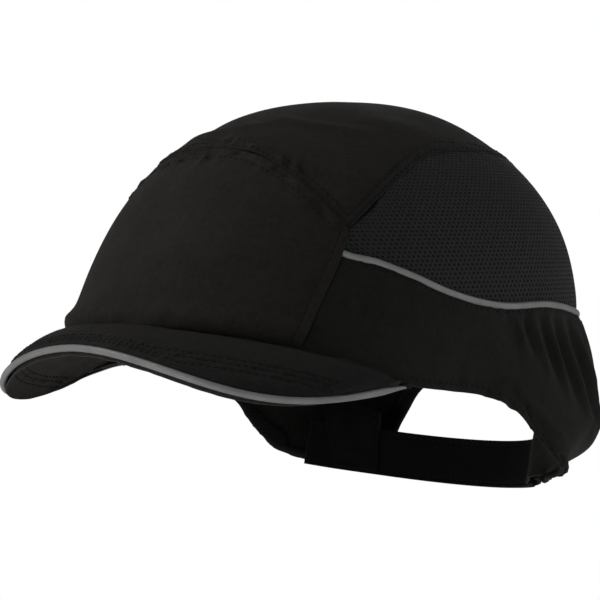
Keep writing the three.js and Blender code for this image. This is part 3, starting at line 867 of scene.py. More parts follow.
def crown_cloth():
    def where(u, v):
        angle = 360 * u - 180
        seam = profile_angle(crown_seam_height(angle) + 2 * SEAM)
        return angle, np.maximum(seam * (1 - v), 0.002)

    def relief(panel):
        along, _, low, _ = panel.gaps
        along = along[:, :1] + 0 * along
        points = panel.base
        fade = smooth(low / 12)
        lift = rolled(low, 0.4) + turned_band(low, TOPSTITCH, 0.2)
        lift += stitch_groove(low, EDGE_STITCH) + stitch_groove(low, TOPSTITCH)
        ahead = smooth((CORNER_ANGLE - np.abs(360 * panel.u - 180)) / 8)
        lift += puckers(low, along, 61, 8, 0.45, 4.4) * (1 + 3 * ahead) * pinned(low)
        lift += 0.8 * value_noise(points[..., 0] / 34 + 20, points[..., 1] / 34 + 20, 71) * fade
        for start, end, width, height in CROWN_CREASES:
            lift += crease(points, start, end, width, height)
        lift[-1] = lift[0]
        return lift, 1 - 0.4 * bell(low, 0.8)

    panel = Panel(np.linspace(0, 1, 361), spaced(105, 2.0, (TOPSTITCH,)), outward(where), relief, ring=True)
    rows = [panel.row("low", EDGE_STITCH), panel.row("low", TOPSTITCH)]
    add_sheet("crown_cloth", panel, outer_cloth, rows, "crown",
              "crown_panel")


def side_creases(side):
    """Drape folds in the rear of a side panel, and wrinkles in front of them."""
    folds = [
        ((102, 3), (106, -16), 2.4, 1.3),
        ((105, 3), (110, -18), 1.8, -1.2),
        ((108, 4), (116, -28), 2.6, 1.9),
        ((112, 3), (120, -30), 1.8, -1.6),
        ((115, 4), (124, -38), 2.6, 2.1),
        ((119, 2), (129, -42), 1.8, -1.8),
        ((122, 3), (133, -48), 2.6, 2.1),
        ((127, 0), (136, -50), 1.8, -1.7),
        ((130, 0), (140, -56), 2.8, 1.9),
        ((152, -12), (152, -34), 3.0, 1.2),
        ((137, 2), (141, -52), 15, 5.6),
        ((100, -28), (122, -62), 3.2, 0.8),
        ((92, -20), (112, -52), 3.6, -0.6),
        ((60, -8), (92, -22), 5, 0.5),
        ((54, 6), (84, -12), 7, 0.4),
        ((70, -19), (98, -31), 2.2, -0.4),
        ((102, -2), (110, -22), 5, 0.6),
        ((144, -10), (170, -14), 9, 2.4),
        ((134, -46), (144, -66), 11, 3.2),
    ]
    return [((side * a[0], a[1]), (side * b[0], b[1]), width, height) for a, b, width, height in folds]


def drape(side, points):
    """How far the folds of a side panel lift or sink its cloth."""
    return sum(crease(points, *fold) for fold in side_creases(side))


def side_cloth_panel(side):
    word = WORDS[side]
    seed = 100 if side > 0 else 200

    def where(u, v):
        angle, tau = on_side_panel(u, v**1.1)
        return side * np.clip(angle + 0.02 * (1 - u), 0, BACK_END), tau

    def relief(panel):
        front, back, low, high = panel.gaps
        along = front[:, :1] + 0 * front
        points = panel.base
        hem = smooth((panel.u - RIM_START) / 0.03) * (1 - smooth((panel.u - ARCH_START + 0.03) / 0.03))
        lift = rolled(front) + rolled(back) + rolled(low) + rolled(high)
        lift += turned_band(low, HEM, 0.35) * hem + turned_band(high, 4) + turned_band(front, 4, 0.2)
        lift += stitch_groove(low, HEM, 0.4) * hem + stitch_groove(high, EDGE_STITCH + 1)
        lift += puckers(low, along, seed + 1, 9, 1.1, 5) * hem
        lift += puckers(high, along, seed + 3, 7, 0.5, 5)
        lift += puckers(front, low, seed + 5, 7, 0.5, 6)
        lift += 0.7 * value_noise(along / 26, low / 20, seed + 7) * smooth(high / 14)
        lift += drape(side, points) * smooth(high / 6) * smooth((low + 3) / 12)
        return lift, 1 - 0.4 * bell(panel.edge, 0.8)

    vs = spaced(SIDE_DEPTH, 1.5, (HEM, SIDE_DEPTH - EDGE_STITCH - 1))
    panel = Panel(spaced(300, 1.7), vs, outward(where), relief)
    rows = [panel.row("low", HEM, RIM_START + 0.02, ARCH_START - 0.03)]
    rows.append(panel.row("high", EDGE_STITCH + 1, 0.01, 0.99))
    add_sheet(f"side_cloth_{word}", panel, side_cloth, rows,
              f"side_{word}", f"side_panel_{word}")


# ---------------------------------------------------------------- knitted mesh


def mesh_where(side, u, v):
    angle = lerp(CORNER_ANGLE, BACK_END, u)
    start = front_edge_angle(profile_angle(PIPING_LINE[0][1]))
    under = angle + (start - CORNER_ANGLE) * (1 - smooth(u / 0.1))
    low = profile_angle(height_on_piping(under))
    high = profile_angle(crown_seam_height(angle) + LAP)
    tau = lerp(low, high, v)
    return side * (angle + (front_edge_angle(tau) + 0.02 - CORNER_ANGLE) * (1 - smooth(u / 0.1))), tau


def mesh_panel(side):
    """The knit, cut so that its rows of slots run level round the cap."""
    where = lambda u, v: mesh_where(side, u, v)

    def relief(panel):
        front, _, low, high = panel.gaps
        along = front[:, :1] + 0 * front
        lift = -0.1 - 0.5 * (1 - smooth(high / (2 * LAP)))
        lift = lift + 0.25 * value_noise(along / 24, low / 20, 300) * smooth(panel.edge / 10)
        lift += puckers(high - LAP, along, 61, 6, 0.35, 5) + puckers(low, along, 320, 4, 0.25, 5)
        return lift, np.ones_like(lift)

    panel = Panel(spaced(215, 1.8), spaced(66, 1.6), outward(where), relief, 0.7)
    _, tau = where(panel.u, panel.v)
    ear = np.searchsorted(panel.u[:, 0], (90 - CORNER_ANGLE) / (180 - CORNER_ANGLE))
    across = panel.gaps[0] - panel.gaps[0][ear]
    cut = np.stack([across, (math.pi / 2 - tau) * SKIRT_SCALE], -1).reshape(-1, 2)
    panel.uv = np.concatenate([cut, cut])
    add_sheet(f"mesh_cloth_{WORDS[side]}", panel, knit,
              node=f"mesh_panel_{WORDS[side]}")


# ---------------------------------------------------------------- piping and edge tapes


def bead_section(share):
    """Round section of the piping, drawn in towards both ends."""
    radius = BEAD_RADIUS * (0.45 + 0.55 * smooth(min(share, 1 - share) / 0.02))
    return round_section(radius, radius)


def add_piping(word, points, faces, node):
    name = f"reflective_piping_{word}"
    add_piece(name, points, faces, reflective, sharp=60, node=node)


def hem_roll(side):
    """The gathered hem of a tail's front edge, which thickens towards the tail's end."""
    along = np.linspace(HEM_ROLL[0], HEM_ROLL[1], 150)
    angle, tau = on_side_panel(along, 0 * along + 0.02)
    line = on_crown(side * angle, tau, 1.0)
    ups = crown_normal(np.radians(side * angle), tau)
    share = np.linspace(0, 1, 150)
    thick = 0.5 + 1.5 * smooth(share / 0.9) + 0.25 * value_noise(share * 34, share * 0, 540 + side)

    def section(place):
        size = np.interp(place, share, thick) * (0.4 + 0.6 * smooth(min(place, 1 - place) / 0.03))
        return round_section(size * 1.25, size * 0.85)

    points, faces = swept(line, ups, section)
    add_piece(f"hem_roll_{WORDS[side]}", placed(points), faces, side_cloth)


def side_piping(side):
    share = np.linspace(0, 1, 240)
    line = catmull_rom([(a, z, 0) for a, z in PIPING_LINE], share)
    tau = profile_angle(line[:, 1])
    from_seam = (front_edge_angle(tau) - 0.4 - line[:, 0]) * (1 - smooth(share / 0.08))
    angle = side * np.minimum(line[:, 0] + from_seam, 179.9)
    crumple = value_noise(share * 60, share * 0, 400 + side)
    centre = on_crown(angle, tau, 0.15 - 0.1 * crumple)
    ups = crown_normal(np.radians(angle), tau)
    points, faces = swept(centre, ups, bead_section)
    word = WORDS[side]
    add_piping(word, placed(points), faces, f"side_piping_{word}")


RIM_STITCH = 1.5


def rim_facing(side):
    """Woven tape inside the rim, stitched along both edges."""
    def where(u, v):
        along = lerp(RIM_START, TAPE_END, u)
        outline = catmull_rom(SIDE_OUTLINE, along)
        tall = height_on_piping(outline[..., 2]) - outline[..., 1]
        angle, tau = on_side_panel(along, (0.8 + 10 * v) / tall)
        return side * angle, tau

    def relief(panel):
        angle, tau = where(panel.u, panel.v)
        low, high = panel.gaps[2:]
        lift = -drape(side, crown_point(np.radians(angle), tau))
        for gap in (low, high):
            lift += stitch_groove(gap, RIM_STITCH, 0.2) + rolled(gap, 0.3)
        lift += 0.15 * value_noise(panel.gaps[0] / 5, low / 9, 500 + side)
        return lift, np.ones_like(lift)

    panel = Panel(np.linspace(0, 1, 120), spaced(10, 1.0), inward(where, 1.9), relief, 0.6)
    rows = [panel.row(edge, RIM_STITCH) for edge in ("low", "high")]
    word = WORDS[side]
    add_sheet(f"rim_facing_{word}", panel, tape_cloth, rows,
              f"rim_{word}", f"rim_tape_{word}")


# Section of the bias binding folded over the arch's edge: away from the cloth, and outwards
BINDING_SECTION = [
    (-6.0, 0.95), (-4, 1.05), (-1.2, 1.1), (0.4, 0.8), (1.2, 0.1), (1.3, -0.7), (0.9, -1.4), (0, -1.9),
    (-1.5, -2.1), (-4, -2.05), (-6.0, -1.95), (-6.0, -1.4), (-1.5, -1.45), (0, -1.1), (0.5, -0.6),
    (0.4, 0.0), (-1.2, 0.45), (-6.0, 0.4),
]


def arch_binding():
    along = np.linspace(ARCH_START, 1, 110)
    angle, tau = on_side_panel(along, 0 * along)
    angle = np.minimum(angle, 180)
    left = crown_point(np.radians(angle), tau)
    up = crown_normal(np.radians(angle), tau)
    left = left + up * 0.3 * value_noise(along * 55, along * 0, 520)[:, None]
    mirror = np.array([-1, 1, 1])
    line = np.concatenate([left, (left * mirror)[::-1][1:]])
    ups = np.concatenate([up, (up * mirror)[::-1][1:]])
    points, faces = swept(line, ups, BINDING_SECTION)
    points = placed(points)
    add_piece("arch_bias_binding", points, faces, tape_cloth, sharp=50, node="arch_binding")
    ahead = unit(np.gradient(line, axis=0))
    beside = np.cross(ahead, ups)
    rows = [(line - beside * 5 + ups * 1.05, ups), (line - beside * 5 - ups * 2.05, -ups)]
    stitching("stitches_arch", rows)


def back_seam_cover():
    def where(u, v):
        return lerp(176.6, 183.4, u), lerp(profile_angle(-21), profile_angle(62), v)

    def relief(panel):
        first, last, low, _ = panel.gaps
        lift = rolled(np.minimum(first, last), 0.35)
        lift = lift + stitch_groove(first, EDGE_STITCH, 0.2) + stitch_groove(last, EDGE_STITCH, 0.2)
        return lift + 0.12 * value_noise(low / 6, first / 6, 530), np.ones_like(lift)

    panel = Panel(spaced(11, 1.2), np.linspace(0, 1, 60), inward(where, 2.2), relief, 0.6)
    rows = [panel.row("first", EDGE_STITCH), panel.row("last", EDGE_STITCH)]
    add_sheet("back_seam_cover", panel, tape_cloth, rows,
              "back_seam", "back_seam_tape")


# Section of the tape behind a seam: across it, and outwards from the cloth's face
SEAM_TAPE = [(-4.6, -1.5), (-4.2, -1.25), (4.2, -1.25), (4.6, -1.5), (4.2, -1.75), (-4.2, -1.75)]
TAPE_FACE = 1.75
TAPE_STITCHES = (-3.4, 3.4)


def seam_tape(name, angle, tau):
    line = crown_point(np.radians(angle), tau)
    ups = crown_normal(np.radians(angle), tau)
    points, faces = swept(line, ups, SEAM_TAPE)
    add_piece(f"seam_tape_{name}", placed(points), faces, tape_cloth, sharp=50)
    beside = np.cross(unit(np.gradient(line, axis=0)), ups)
    rows = [(line + beside * gap - ups * TAPE_FACE, -ups) for gap in TAPE_STITCHES]
    stitching(f"stitches_tape_{name}", rows)


def seam_tapes():
    top = np.linspace(-CORNER_ANGLE, CORNER_ANGLE, 90)
    seam_tape("top", top, profile_angle(front_top_height(top)))
    for side, word in WORDS.items():
        back = np.linspace(CORNER_ANGLE, 176, 120)
        seam_tape(f"crown_{word}", side * back, profile_angle(crown_seam_height(back)))
        foot = profile_angle(junction_height(SIDE_SEAM_FOOT) + 1)
        tau = np.linspace(foot, profile_angle(CORNER_HEIGHT), 50)
        seam_tape(f"front_{word}", side * front_edge_angle(tau), tau)
        line = catmull_rom([(a, z, 0) for a, z in PIPING_LINE], np.linspace(0, 0.985, 140))
        seam_tape(f"side_{word}", side * line[:, 0], profile_angle(line[:, 1]))


# ---------------------------------------------------------------- peak
PEAK_SHARE = 0.985
UPPER_FACE = 2.6
COVER_THICKNESS = 0.8
PEAK_END_TAPER = 0.65
ROOT_GROOVE = 2.4  # where the peak runs in under the crown
ROOT_TUCK = 3.5  # how far the covers run on under the crown's edge
MOST_TUCK = 0.12  # of the peak's depth, which is small at its ends
UNDER_LIP = (1.3, 0.5)  # how far the under cover stands out past the piping's middle, and down
PEAK_STITCHES = ((21.5, 0.8), (24.5, 0.86), (28.3, 0.9))  # from the root, and the most of the depth


def peak_root(t):
    angle = PEAK_END * t
    return on_crown(angle, profile_angle(junction_height(angle)), -0.8)


def peak_edge(t):
    size = np.abs(t)
    turn = (math.pi / 2) * np.minimum(size, 1) ** 1.34
    across = np.sin(turn) ** (2 / PEAK_POWER)
    ahead = np.maximum(np.cos(turn), 0) ** (2 / PEAK_POWER)
    x = PEAK_HALF_WIDTH * across
    y = -PEAK_MIDDLE - (PEAK_FRONT - PEAK_MIDDLE) * ahead
    z = -PEAK_DIP - PEAK_DROOP * across**DROOP_POWER
    end = peak_root(np.array(1.0))
    pull = size**CORNER_PULL
    x = x + (end[0] - PEAK_HALF_WIDTH) * pull
    y = y + (end[1] + PEAK_MIDDLE) * pull
    z = z + (end[2] + PEAK_DIP + PEAK_DROOP) * pull
    return np.stack([np.where(t < 0, -x, x), y, z], -1)


def peak_surface(t, w):
    """The peak's middle surface and its upward normal, t across and w from root to edge."""
    def on(a, b):
        point = lerp(peak_root(a), peak_edge(a), b[..., None])
        point[..., 2] += PEAK_CROWNING * 4 * b * (1 - b)
        return point
    step = 0.01
    along = on(t + step, w) - on(t - step, w)
    out = on(t, w + step) - on(t, w - step)
    normal = unit(np.cross(out, along))
    normal = np.where(normal[..., 2:] < 0, -normal, normal)
    return on(t, w), normal


def peak_frame(share, inside, lift, behind=0.2):
    """Base and normals of a peak layer; a negative lift gives one that faces down."""
    def frame_at(u, v):
        t = share * (2 * u - 1)
        width = np.linalg.norm(peak_edge(t) - peak_root(t), axis=-1)
        start = np.maximum(behind / width, -MOST_TUCK)
        middle, normal = peak_surface(t, lerp(start, np.clip(1 - inside / width, 0.4, 1.04), v))
        thinning = 1 - PEAK_END_TAPER * smooth((np.abs(t) - 0.88) / 0.1)
        return middle + normal * (lift * thinning)[..., None], normal * np.sign(lift)
    return frame_at


def peak_cover(upper):
    word = "top" if upper else "under"
    seed = 600 if upper else 620
    inside = 1.1 if upper else -UNDER_LIP[0]

    def relief(panel):
        right, _, root, edge = panel.gaps
        root = np.maximum(root - ROOT_TUCK, 0)
        depth = root[:, -1:]
        lift = puckers(edge, right, seed, 4, 0.22, 6) + puckers(root, right, seed + 2, 9, 0.4, 7)
        for distance, most in PEAK_STITCHES:
            lift += stitch_groove(root, np.minimum(distance, most * depth), 0.3)
        lift += puckers(np.abs(root - np.minimum(25, 0.85 * depth)), right, seed + 4, 6, 0.4, 3.2)
        lift += 0.25 * value_noise(right / 26, root / 22, seed + 6) * smooth(root / 10) * smooth(edge / 10)
        if upper:
            lift -= 1.25 * (1 - smooth(edge / 5)) + 0.35 * bell(edge, 0.5)
            lift -= ROOT_GROOVE * bell(root, 3.4)
        else:
            lift += UNDER_LIP[1] * (1 - smooth(edge / 4))
        return lift, 1 - 0.3 * bell(edge, 0.8)

    frame_at = peak_frame(PEAK_SHARE, inside, UPPER_FACE if upper else -UPPER_FACE, -ROOT_TUCK)
    panel = Panel(np.linspace(0, 1, 221), spaced(38, 0.8), frame_at, relief, COVER_THICKNESS)
    # The under cover gets the lighter cloth, which is painted light for its lit underside.
    finish = peak_cloth if upper else under_cloth_painted_light
    rows = [panel.row("low", distance + ROOT_TUCK, 0.06, 0.94, most) for distance, most in PEAK_STITCHES]
    node = "peak_upper_cover" if upper else "peak_under_cover"
    add_sheet(f"peak_{word}_cloth", panel, finish, rows,
              f"peak_{word}", node)


def peak_board():
    flat = lambda panel: (np.zeros_like(panel.u), np.ones_like(panel.u))
    frame_at = peak_frame(0.93, 4.2, 0.8, behind=2.5)
    panel = Panel(np.linspace(0, 1, 121), np.linspace(0, 1, 25), frame_at, flat, 1.6)
    add_piece("peak_stiffener", placed(panel.points), panel.faces, board_plastic, sharp=40,
              node="peak_board")


def peak_piping():
    t = np.linspace(-0.998, 0.998, 420)
    line = peak_edge(t)
    _, ups = peak_surface(t, np.full_like(t, 0.98))
    crumple = value_noise(t * 90, t * 0, 640)
    line = line + ups * (0.25 + 0.06 * crumple)[:, None]
    points, faces = swept(line, ups, bead_section)
    add_piping("peak", placed(points), faces, "peak_piping")


# ---------------------------------------------------------------- inside the cap
BAND_END = 103
BAND_WIDTH = 31
BAND_STITCH = 4


def sweatband():
    def where(u, v):
        angle = lerp(-BAND_END, BAND_END, u)
        turn = np.abs(angle)
        behind = -25.2 - 5.8 * ((turn - PEAK_END) / 22.6) + 4 * np.maximum((turn - 92) / 11, 0) ** 2
        foot = np.where(turn < PEAK_END, junction_height(turn), behind) + 2
        return angle, profile_angle(foot + BAND_WIDTH * v)

    def relief(panel):
        first, _, low, high = panel.gaps
        lift = rolled(panel.edge, 0.9) + stitch_groove(low, BAND_STITCH, 0.4)
        lift += stitch_groove(high, BAND_STITCH, 0.4)
        lift += 0.3 * value_noise(first / 14, low / 12, 700) + puckers(low, first, 702, 6, 0.3)
        lift += puckers(high, first, 704, 6, 0.3)
        return lift, 1 - 0.35 * bell(panel.edge, 0.9)

    vs = spaced(BAND_WIDTH, 1.2, (BAND_STITCH, BAND_WIDTH - BAND_STITCH))
    panel = Panel(spaced(300, 2.0), vs, inward(where, 7.9), relief, 1.8)
    rows = [panel.row(edge, BAND_STITCH) for edge in ("low", "high")]
    add_sheet("towelling_band", panel, towelling, rows, "band",
              "sweatband")


PAD_FACE = 12.0
PAD_THICKNESS = 5.8


def cushion(edge):
    """Relief of a foam pad with a rounded rim and a crowned face."""
    return rolled(edge, 3.2) * 0.9 + 0.5 * smooth(edge / 12) - 0.5


def pressed_line(edge):
    return -0.9 * bell(np.abs(edge - 9), 1.1)


def add_pad(name, node, panel):
    points = placed(panel.points)
    piece = add_piece(name, points, panel.faces, foam, uv=panel.uv, node=node)


def foam_pad(name, node, span, heights):
    def where(u, v):
        pull = 0.12 * np.abs(2 * v - 1) ** 3
        squeeze = 0.08 * np.abs(2 * u - 1) ** 3
        angle = lerp(span[0], span[1], lerp(pull, 1 - pull, u))
        low, high = (profile_angle(h) for h in heights)
        return angle, lerp(low, high, lerp(squeeze, 1 - squeeze, v))

    def relief(panel):
        lift = cushion(panel.edge) + pressed_line(panel.edge) * smooth(panel.edge / 6)
        return lift, 1 + (lift / PAD_THICKNESS) * 0.9

    frame_at = inward(where, PAD_FACE)
    add_pad(name, node, Panel(spaced(100, 2.0), spaced(40, 2.0), frame_at, relief, PAD_THICKNESS))


def crown_pad():
    def where(u, v):
        return 360 * u, np.maximum(profile_angle(88) * (1 - v), 0.012)

    def relief(panel):
        low = panel.gaps[2]
        lift = cushion(low) + pressed_line(low)
        lift[-1] = lift[0]
        return lift, 1 + (lift / PAD_THICKNESS) * 0.9

    frame_at = inward(where, PAD_FACE)
    panel = Panel(np.linspace(0, 1, 97), spaced(42, 1.8), frame_at, relief, PAD_THICKNESS, ring=True)
    add_pad("foam_crown", "pad_crown", panel)


def care_label():
    def where(u, v):
        return lerp(-86, -79, u), lerp(profile_angle(-27.5), profile_angle(-2), v)

    def relief(panel):
        first, _, low, high = panel.gaps
        lift = 0.7 * np.sin(low / 5.5) * smooth(high / 8)
        lift = lift + 0.5 * smooth(high / 20) + 0.2 * np.sin(first / 2.5)
        return lift, np.ones_like(lift)

    panel = Panel(np.linspace(0, 1, 16), np.linspace(0, 1, 36), inward(where, 9.0), relief, 0.35)
    rows = [panel.row("high", 1.2)]
    add_sheet("blank_label", panel, label_satin, rows, "label",
              "care_label")


# ---------------------------------------------------------------- nape strap
STRAP_STITCH = 2.2
END_STITCH = 2.5
WEB_THICKNESS = 1.3
PILE_STITCH = 1.6


def upright(span, radius_at, heights, faces_out=True, tip=None):
    """Frame for a band about the strap's axis; tip rounds the end at the first angle."""
    def frame_at(u, v):
        angle = np.radians(lerp(span[0], span[1], u))
        radius = radius_at(np.degrees(angle))
        level = lerp(heights[0], heights[1], v)
        if tip is not None:
            middle, half = sum(heights) / 2, (heights[1] - heights[0]) / 2
            run = np.radians(abs(span[1] - span[0])) * radius * u
            short = np.clip(1 - run / tip, 0, 1)
            room = half - tip + tip * np.sqrt(np.maximum(1 - short**2, 0))
            level = middle + (level - middle) * room / half
        points = np.stack([radius * np.sin(angle), STRAP_AXIS_Y + radius * np.cos(angle), level], -1)
        normals = np.stack([np.sin(angle), np.cos(angle), 0 * angle], -1)
        return points, normals if faces_out else -normals
    return frame_at


def strap_relief(seed, stitch=STRAP_STITCH, soft=0.25):
    def relief(panel):
        first, _, low, high = panel.gaps
        lift = rolled(panel.edge, 0.6) + stitch_groove(np.minimum(low, high), stitch, 0.22)
        lift += soft * value_noise(first / 15, low / 14, seed) * smooth(panel.edge / 4)
        return lift, 1 - 0.35 * bell(panel.edge, 0.6)
    return relief


def add_webbing(name, panel, finish, rows, seam, node, body="cap"):
    add_sheet(name, panel, finish, rows, seam, node, body, placed_nape)


def loop_strap():
    radius = lambda a: lerp(LOOP_STRAP[0], RIGHT_SEAM_RADIUS, smooth((-a - 36) / 22))
    frame_at = upright((-62, 48), radius, (0, STRAP_HEIGHT), faces_out=False)
    vs = spaced(STRAP_HEIGHT, 1.2, (STRAP_STITCH, STRAP_HEIGHT - STRAP_STITCH))
    panel = Panel(spaced(158, 1.6), vs, frame_at, strap_relief(800), WEB_THICKNESS)
    rows = [panel.row("low", STRAP_STITCH), panel.row("high", STRAP_STITCH)]
    rows += [panel.row("last", distance, 0.12, 0.88) for distance in (END_STITCH, 7)]
    add_webbing("strap_web", panel, strap_cloth, rows,
                "strap", "loop_strap")


def loop_patch():
    frame_at = upright((-26, 30), lambda a: LOOP_PATCH[1] + 0 * a, (2, STRAP_HEIGHT - 2))
    panel = Panel(spaced(82, 1.2), spaced(18, 1.0), frame_at, strap_relief(810, PILE_STITCH, 0.1), 0.6)
    rows = [panel.row(edge, PILE_STITCH) for edge in ("low", "high", "last")]
    add_webbing("strap_loop_pile", panel, loop_pile, rows, "loop",
                "loop_patch")


def lining_relief(panel):
    first, last, low, _ = panel.gaps
    lift = rolled(panel.edge, 0.5) + stitch_groove(last, END_STITCH, 0.2)
    lift += 0.4 * value_noise(first / 9, low / 12, 850) * smooth(panel.edge / 4)
    return lift, np.ones_like(lift)


def add_lining(word, size, frame_at, finish):
    panel = Panel(*size, frame_at, lining_relief, 0.7)
    panel.faces = facing_out(panel.points, panel.faces)
    rows = [panel.row("last", END_STITCH, 0.05, 0.95)]
    add_webbing(f"tail_lining_{word}", panel, finish, rows,
                f"tail_{word}", None)


def about_strap(side, turn, radius, level):
    """A point by its angle from the back, radius and height, in the strap's upright frame."""
    angle = np.radians(turn)
    across, back = side * radius * np.sin(angle), STRAP_AXIS_Y + radius * np.cos(angle)
    return np.stack([across, back, level + 0 * angle], -1)


def right_lining():
    """Lining of the right tail, over the strap's sewn end."""
    def frame_at(u, v):
        turn = lerp(lerp(53, 61, v), lerp(37.5, 39.5, v), u)
        level = lerp(1.2, lerp(40, 30, u), v)
        radius = lerp(LOOP_STRAP[0], RIGHT_SEAM_RADIUS, smooth((turn - 36) / 22)) - 0.9
        radius = radius + 3.6 * smooth((level - STRAP_HEIGHT) / 22) * smooth((turn - 38) / 12)
        outwards = about_strap(-1, turn, 1 + 0 * turn, 0) - [0, STRAP_AXIS_Y, 0]
        return about_strap(-1, turn, radius, level), -unit(outwards)

    add_lining("right", (spaced(42, 1.0), spaced(36, 1.2)), frame_at, tape_cloth)


def left_lining():
    """Lining of the left tail, from its front edge in over the strap's other end."""
    def frame_at(u, v):
        rim = on_crown(*on_side_panel(lerp(0.52, 0.335, v), 0 * v + 0.03), 1.6)
        rim = placed(rim) / MM - np.array([0, SEAT_SHIFT, 0])
        ahead = about_strap(1, lerp(66, 70, v), 92.0, lerp(2.4, 21, v))
        behind = about_strap(1, 61 + 0 * v, 83.0, lerp(1.2, 23, v))
        over = about_strap(1, 52 + 0 * v, 80.6, lerp(1.0, 23, v))
        end = about_strap(1, lerp(36, 45, v), 80.6, lerp(0.9, 22.6, v))
        points = through([rim, ahead, behind, over, end], u)
        return points, -unit(np.cross(np.gradient(points, axis=0), np.gradient(points, axis=1)))

    # The lining is the outer cloth lying in shade, painted with the darker side cloth.
    add_lining("left", (spaced(58, 1.0), spaced(24, 1.0)), frame_at, side_cloth)


def strap_base():
    frame_at = upright((60, TAB_SEAM + 0.3), lambda a: HOOK_TAB[1] + 0 * a, (1, STRAP_HEIGHT - 1))
    panel = Panel(spaced(40, 1.2), spaced(20, 1.0), frame_at, strap_relief(820), WEB_THICKNESS)
    rows = [panel.row("low", STRAP_STITCH), panel.row("high", STRAP_STITCH)]
    add_webbing("tab_base", panel, strap_cloth, rows,
                "tab_base", "strap_base", "strap_base")


def hook_tab():
    frame_at = upright((-20, TAB_SEAM), lambda a: HOOK_TAB[1] + 0 * a, (0.5, STRAP_HEIGHT - 0.5), tip=6)
    panel = Panel(spaced(79, 1.2), spaced(21, 1.0), frame_at, strap_relief(830), WEB_THICKNESS)
    rows = [panel.row(edge, STRAP_STITCH, 0.06, 1) for edge in ("low", "high")]
    rows.append(panel.row("first", STRAP_STITCH, 0.2, 0.8))
    add_webbing("pull_tab", panel, strap_cloth, rows, "tab",
                "hook_tab", "hook_tab")


HOOK_SPAN = (-19, 18)
HOOK_MARGIN = 2.5
HOOK_SPACING = 1.7
HOOK_RISE = 0.45
HOOK_RINGS = ((0, 0, 0.32), (0.6, 0.05, 0.2), (1.0, 0.45, 0.14))  # rise, lean and half width of a hook


def hook_patch():
    """Moulded hook tape: a backing with rows of small hooks that lean alternate ways."""
    radius = HOOK_PATCH[1]
    heights = (HOOK_MARGIN, STRAP_HEIGHT - HOOK_MARGIN)
    frame_at = upright(HOOK_SPAN, lambda a: radius + 0 * a, heights, faces_out=False)
    flat = lambda panel: (np.zeros_like(panel.u) - 0.3, np.ones_like(panel.u))
    panel = Panel(np.linspace(0, 1, 30), np.linspace(0, 1, 8), frame_at, flat, 0.25)
    points, faces = panel.points.tolist(), list(panel.faces)
    run = math.radians(HOOK_SPAN[1] - HOOK_SPAN[0]) * radius
    for row in range(int((STRAP_HEIGHT - 2 * HOOK_MARGIN) / HOOK_SPACING)):
        for column in range(int(run / HOOK_SPACING)):
            angle = math.radians(HOOK_SPAN[0]) + (column + 0.7) * HOOK_SPACING / radius
            level = HOOK_MARGIN + (row + 0.8) * HOOK_SPACING
            inwards = np.array([-math.sin(angle), -math.cos(angle), 0])
            across = np.array([math.cos(angle), -math.sin(angle), 0])
            base = np.array([0, STRAP_AXIS_Y, level]) - inwards * (radius - 0.28)
            lean = 1 if row % 2 else -1
            first = len(points)
            for rise, shift, half in HOOK_RINGS:
                for a, b in ((-1, -1), (1, -1), (1, 1), (-1, 1)):
                    place = base + inwards * rise * HOOK_RISE + across * (lean * shift + a * half)
                    points.append((place + np.array([0, 0, b * half])).tolist())
            for ring in range(2):
                for k in range(4):
                    c, d = first + ring * 4 + k, first + ring * 4 + (k + 1) % 4
                    faces.append((c, d, d + 4, c + 4))
            faces.append((first + 3, first + 2, first + 1, first))
            faces.append((first + 8, first + 9, first + 10, first + 11))
    points = placed_nape(np.array(points))
    add_piece("hook_tape", points, faces, hook_plastic, "hook_tab", sharp=30, node="hook_patch")


# ---------------------------------------------------------------- stage, light and camera
ROOM_LIGHT = 0.14  # what the white surroundings add, so that black cloth stays black
FLOOR_GLOW = 0.25


def studio():
    floor = bpy.data.meshes.new("floor")
    reach = 6.0
    corners = [(-reach, -reach, 0), (reach, -reach, 0), (reach, reach, 0), (-reach, reach, 0)]
    floor.from_pydata(corners, [], [(0, 1, 2, 3)])
    ground = bpy.data.objects.new("floor", floor)
    bpy.context.scene.collection.objects.link(ground)
    floor.materials.append(floor_finish())
    world = bpy.data.worlds.new("studio")
    world.use_nodes = True
    tree = world.node_tree
    tree.nodes["Background"].inputs["Color"].default_value = (1, 1, 1, 1)
    ray = tree.nodes.new("ShaderNodeLightPath")
    level = tree.nodes.new("ShaderNodeMapRange")
    level.inputs["To Min"].default_value = ROOM_LIGHT
    level.inputs["To Max"].default_value = 1.0
    tree.links.new(ray.outputs["Is Camera Ray"], level.inputs[0])
    tree.links.new(level.outputs[0], tree.nodes["Background"].inputs["Strength"])
    bpy.context.scene.world = world
    bpy.context.scene.view_settings.view_transform = "Standard"


def floor_finish():
    """A pale one-sided floor: not seen from below, where the camera is, and open to light from there."""
    made = bpy.data.materials.new("floor")
    made.use_nodes = True
    tree = made.node_tree
    surface = tree.nodes["Principled BSDF"]
    surface.inputs["Base Color"].default_value = (0.86, 0.86, 0.86, 1)
    surface.inputs["Roughness"].default_value = 0.9
    surface.inputs["Emission Color"].default_value = (1, 1, 1, 1)
    surface.inputs["Emission Strength"].default_value = FLOOR_GLOW
    clear = tree.nodes.new("ShaderNodeBsdfTransparent")
    side = tree.nodes.new("ShaderNodeNewGeometry")
    ray = tree.nodes.new("ShaderNodeLightPath")
    either = tree.nodes.new("ShaderNodeMath")
    either.operation = "MAXIMUM"
    mix = tree.nodes.new("ShaderNodeMixShader")
    tree.links.new(side.outputs["Backfacing"], either.inputs[0])
    tree.links.new(ray.outputs["Is Shadow Ray"], either.inputs[1])
    tree.links.new(either.outputs[0], mix.inputs[0])
    tree.links.new(surface.outputs[0], mix.inputs[1])
    tree.links.new(clear.outputs[0], mix.inputs[2])
    tree.links.new(mix.outputs[0], tree.nodes["Material Output"].inputs["Surface"])
    return made


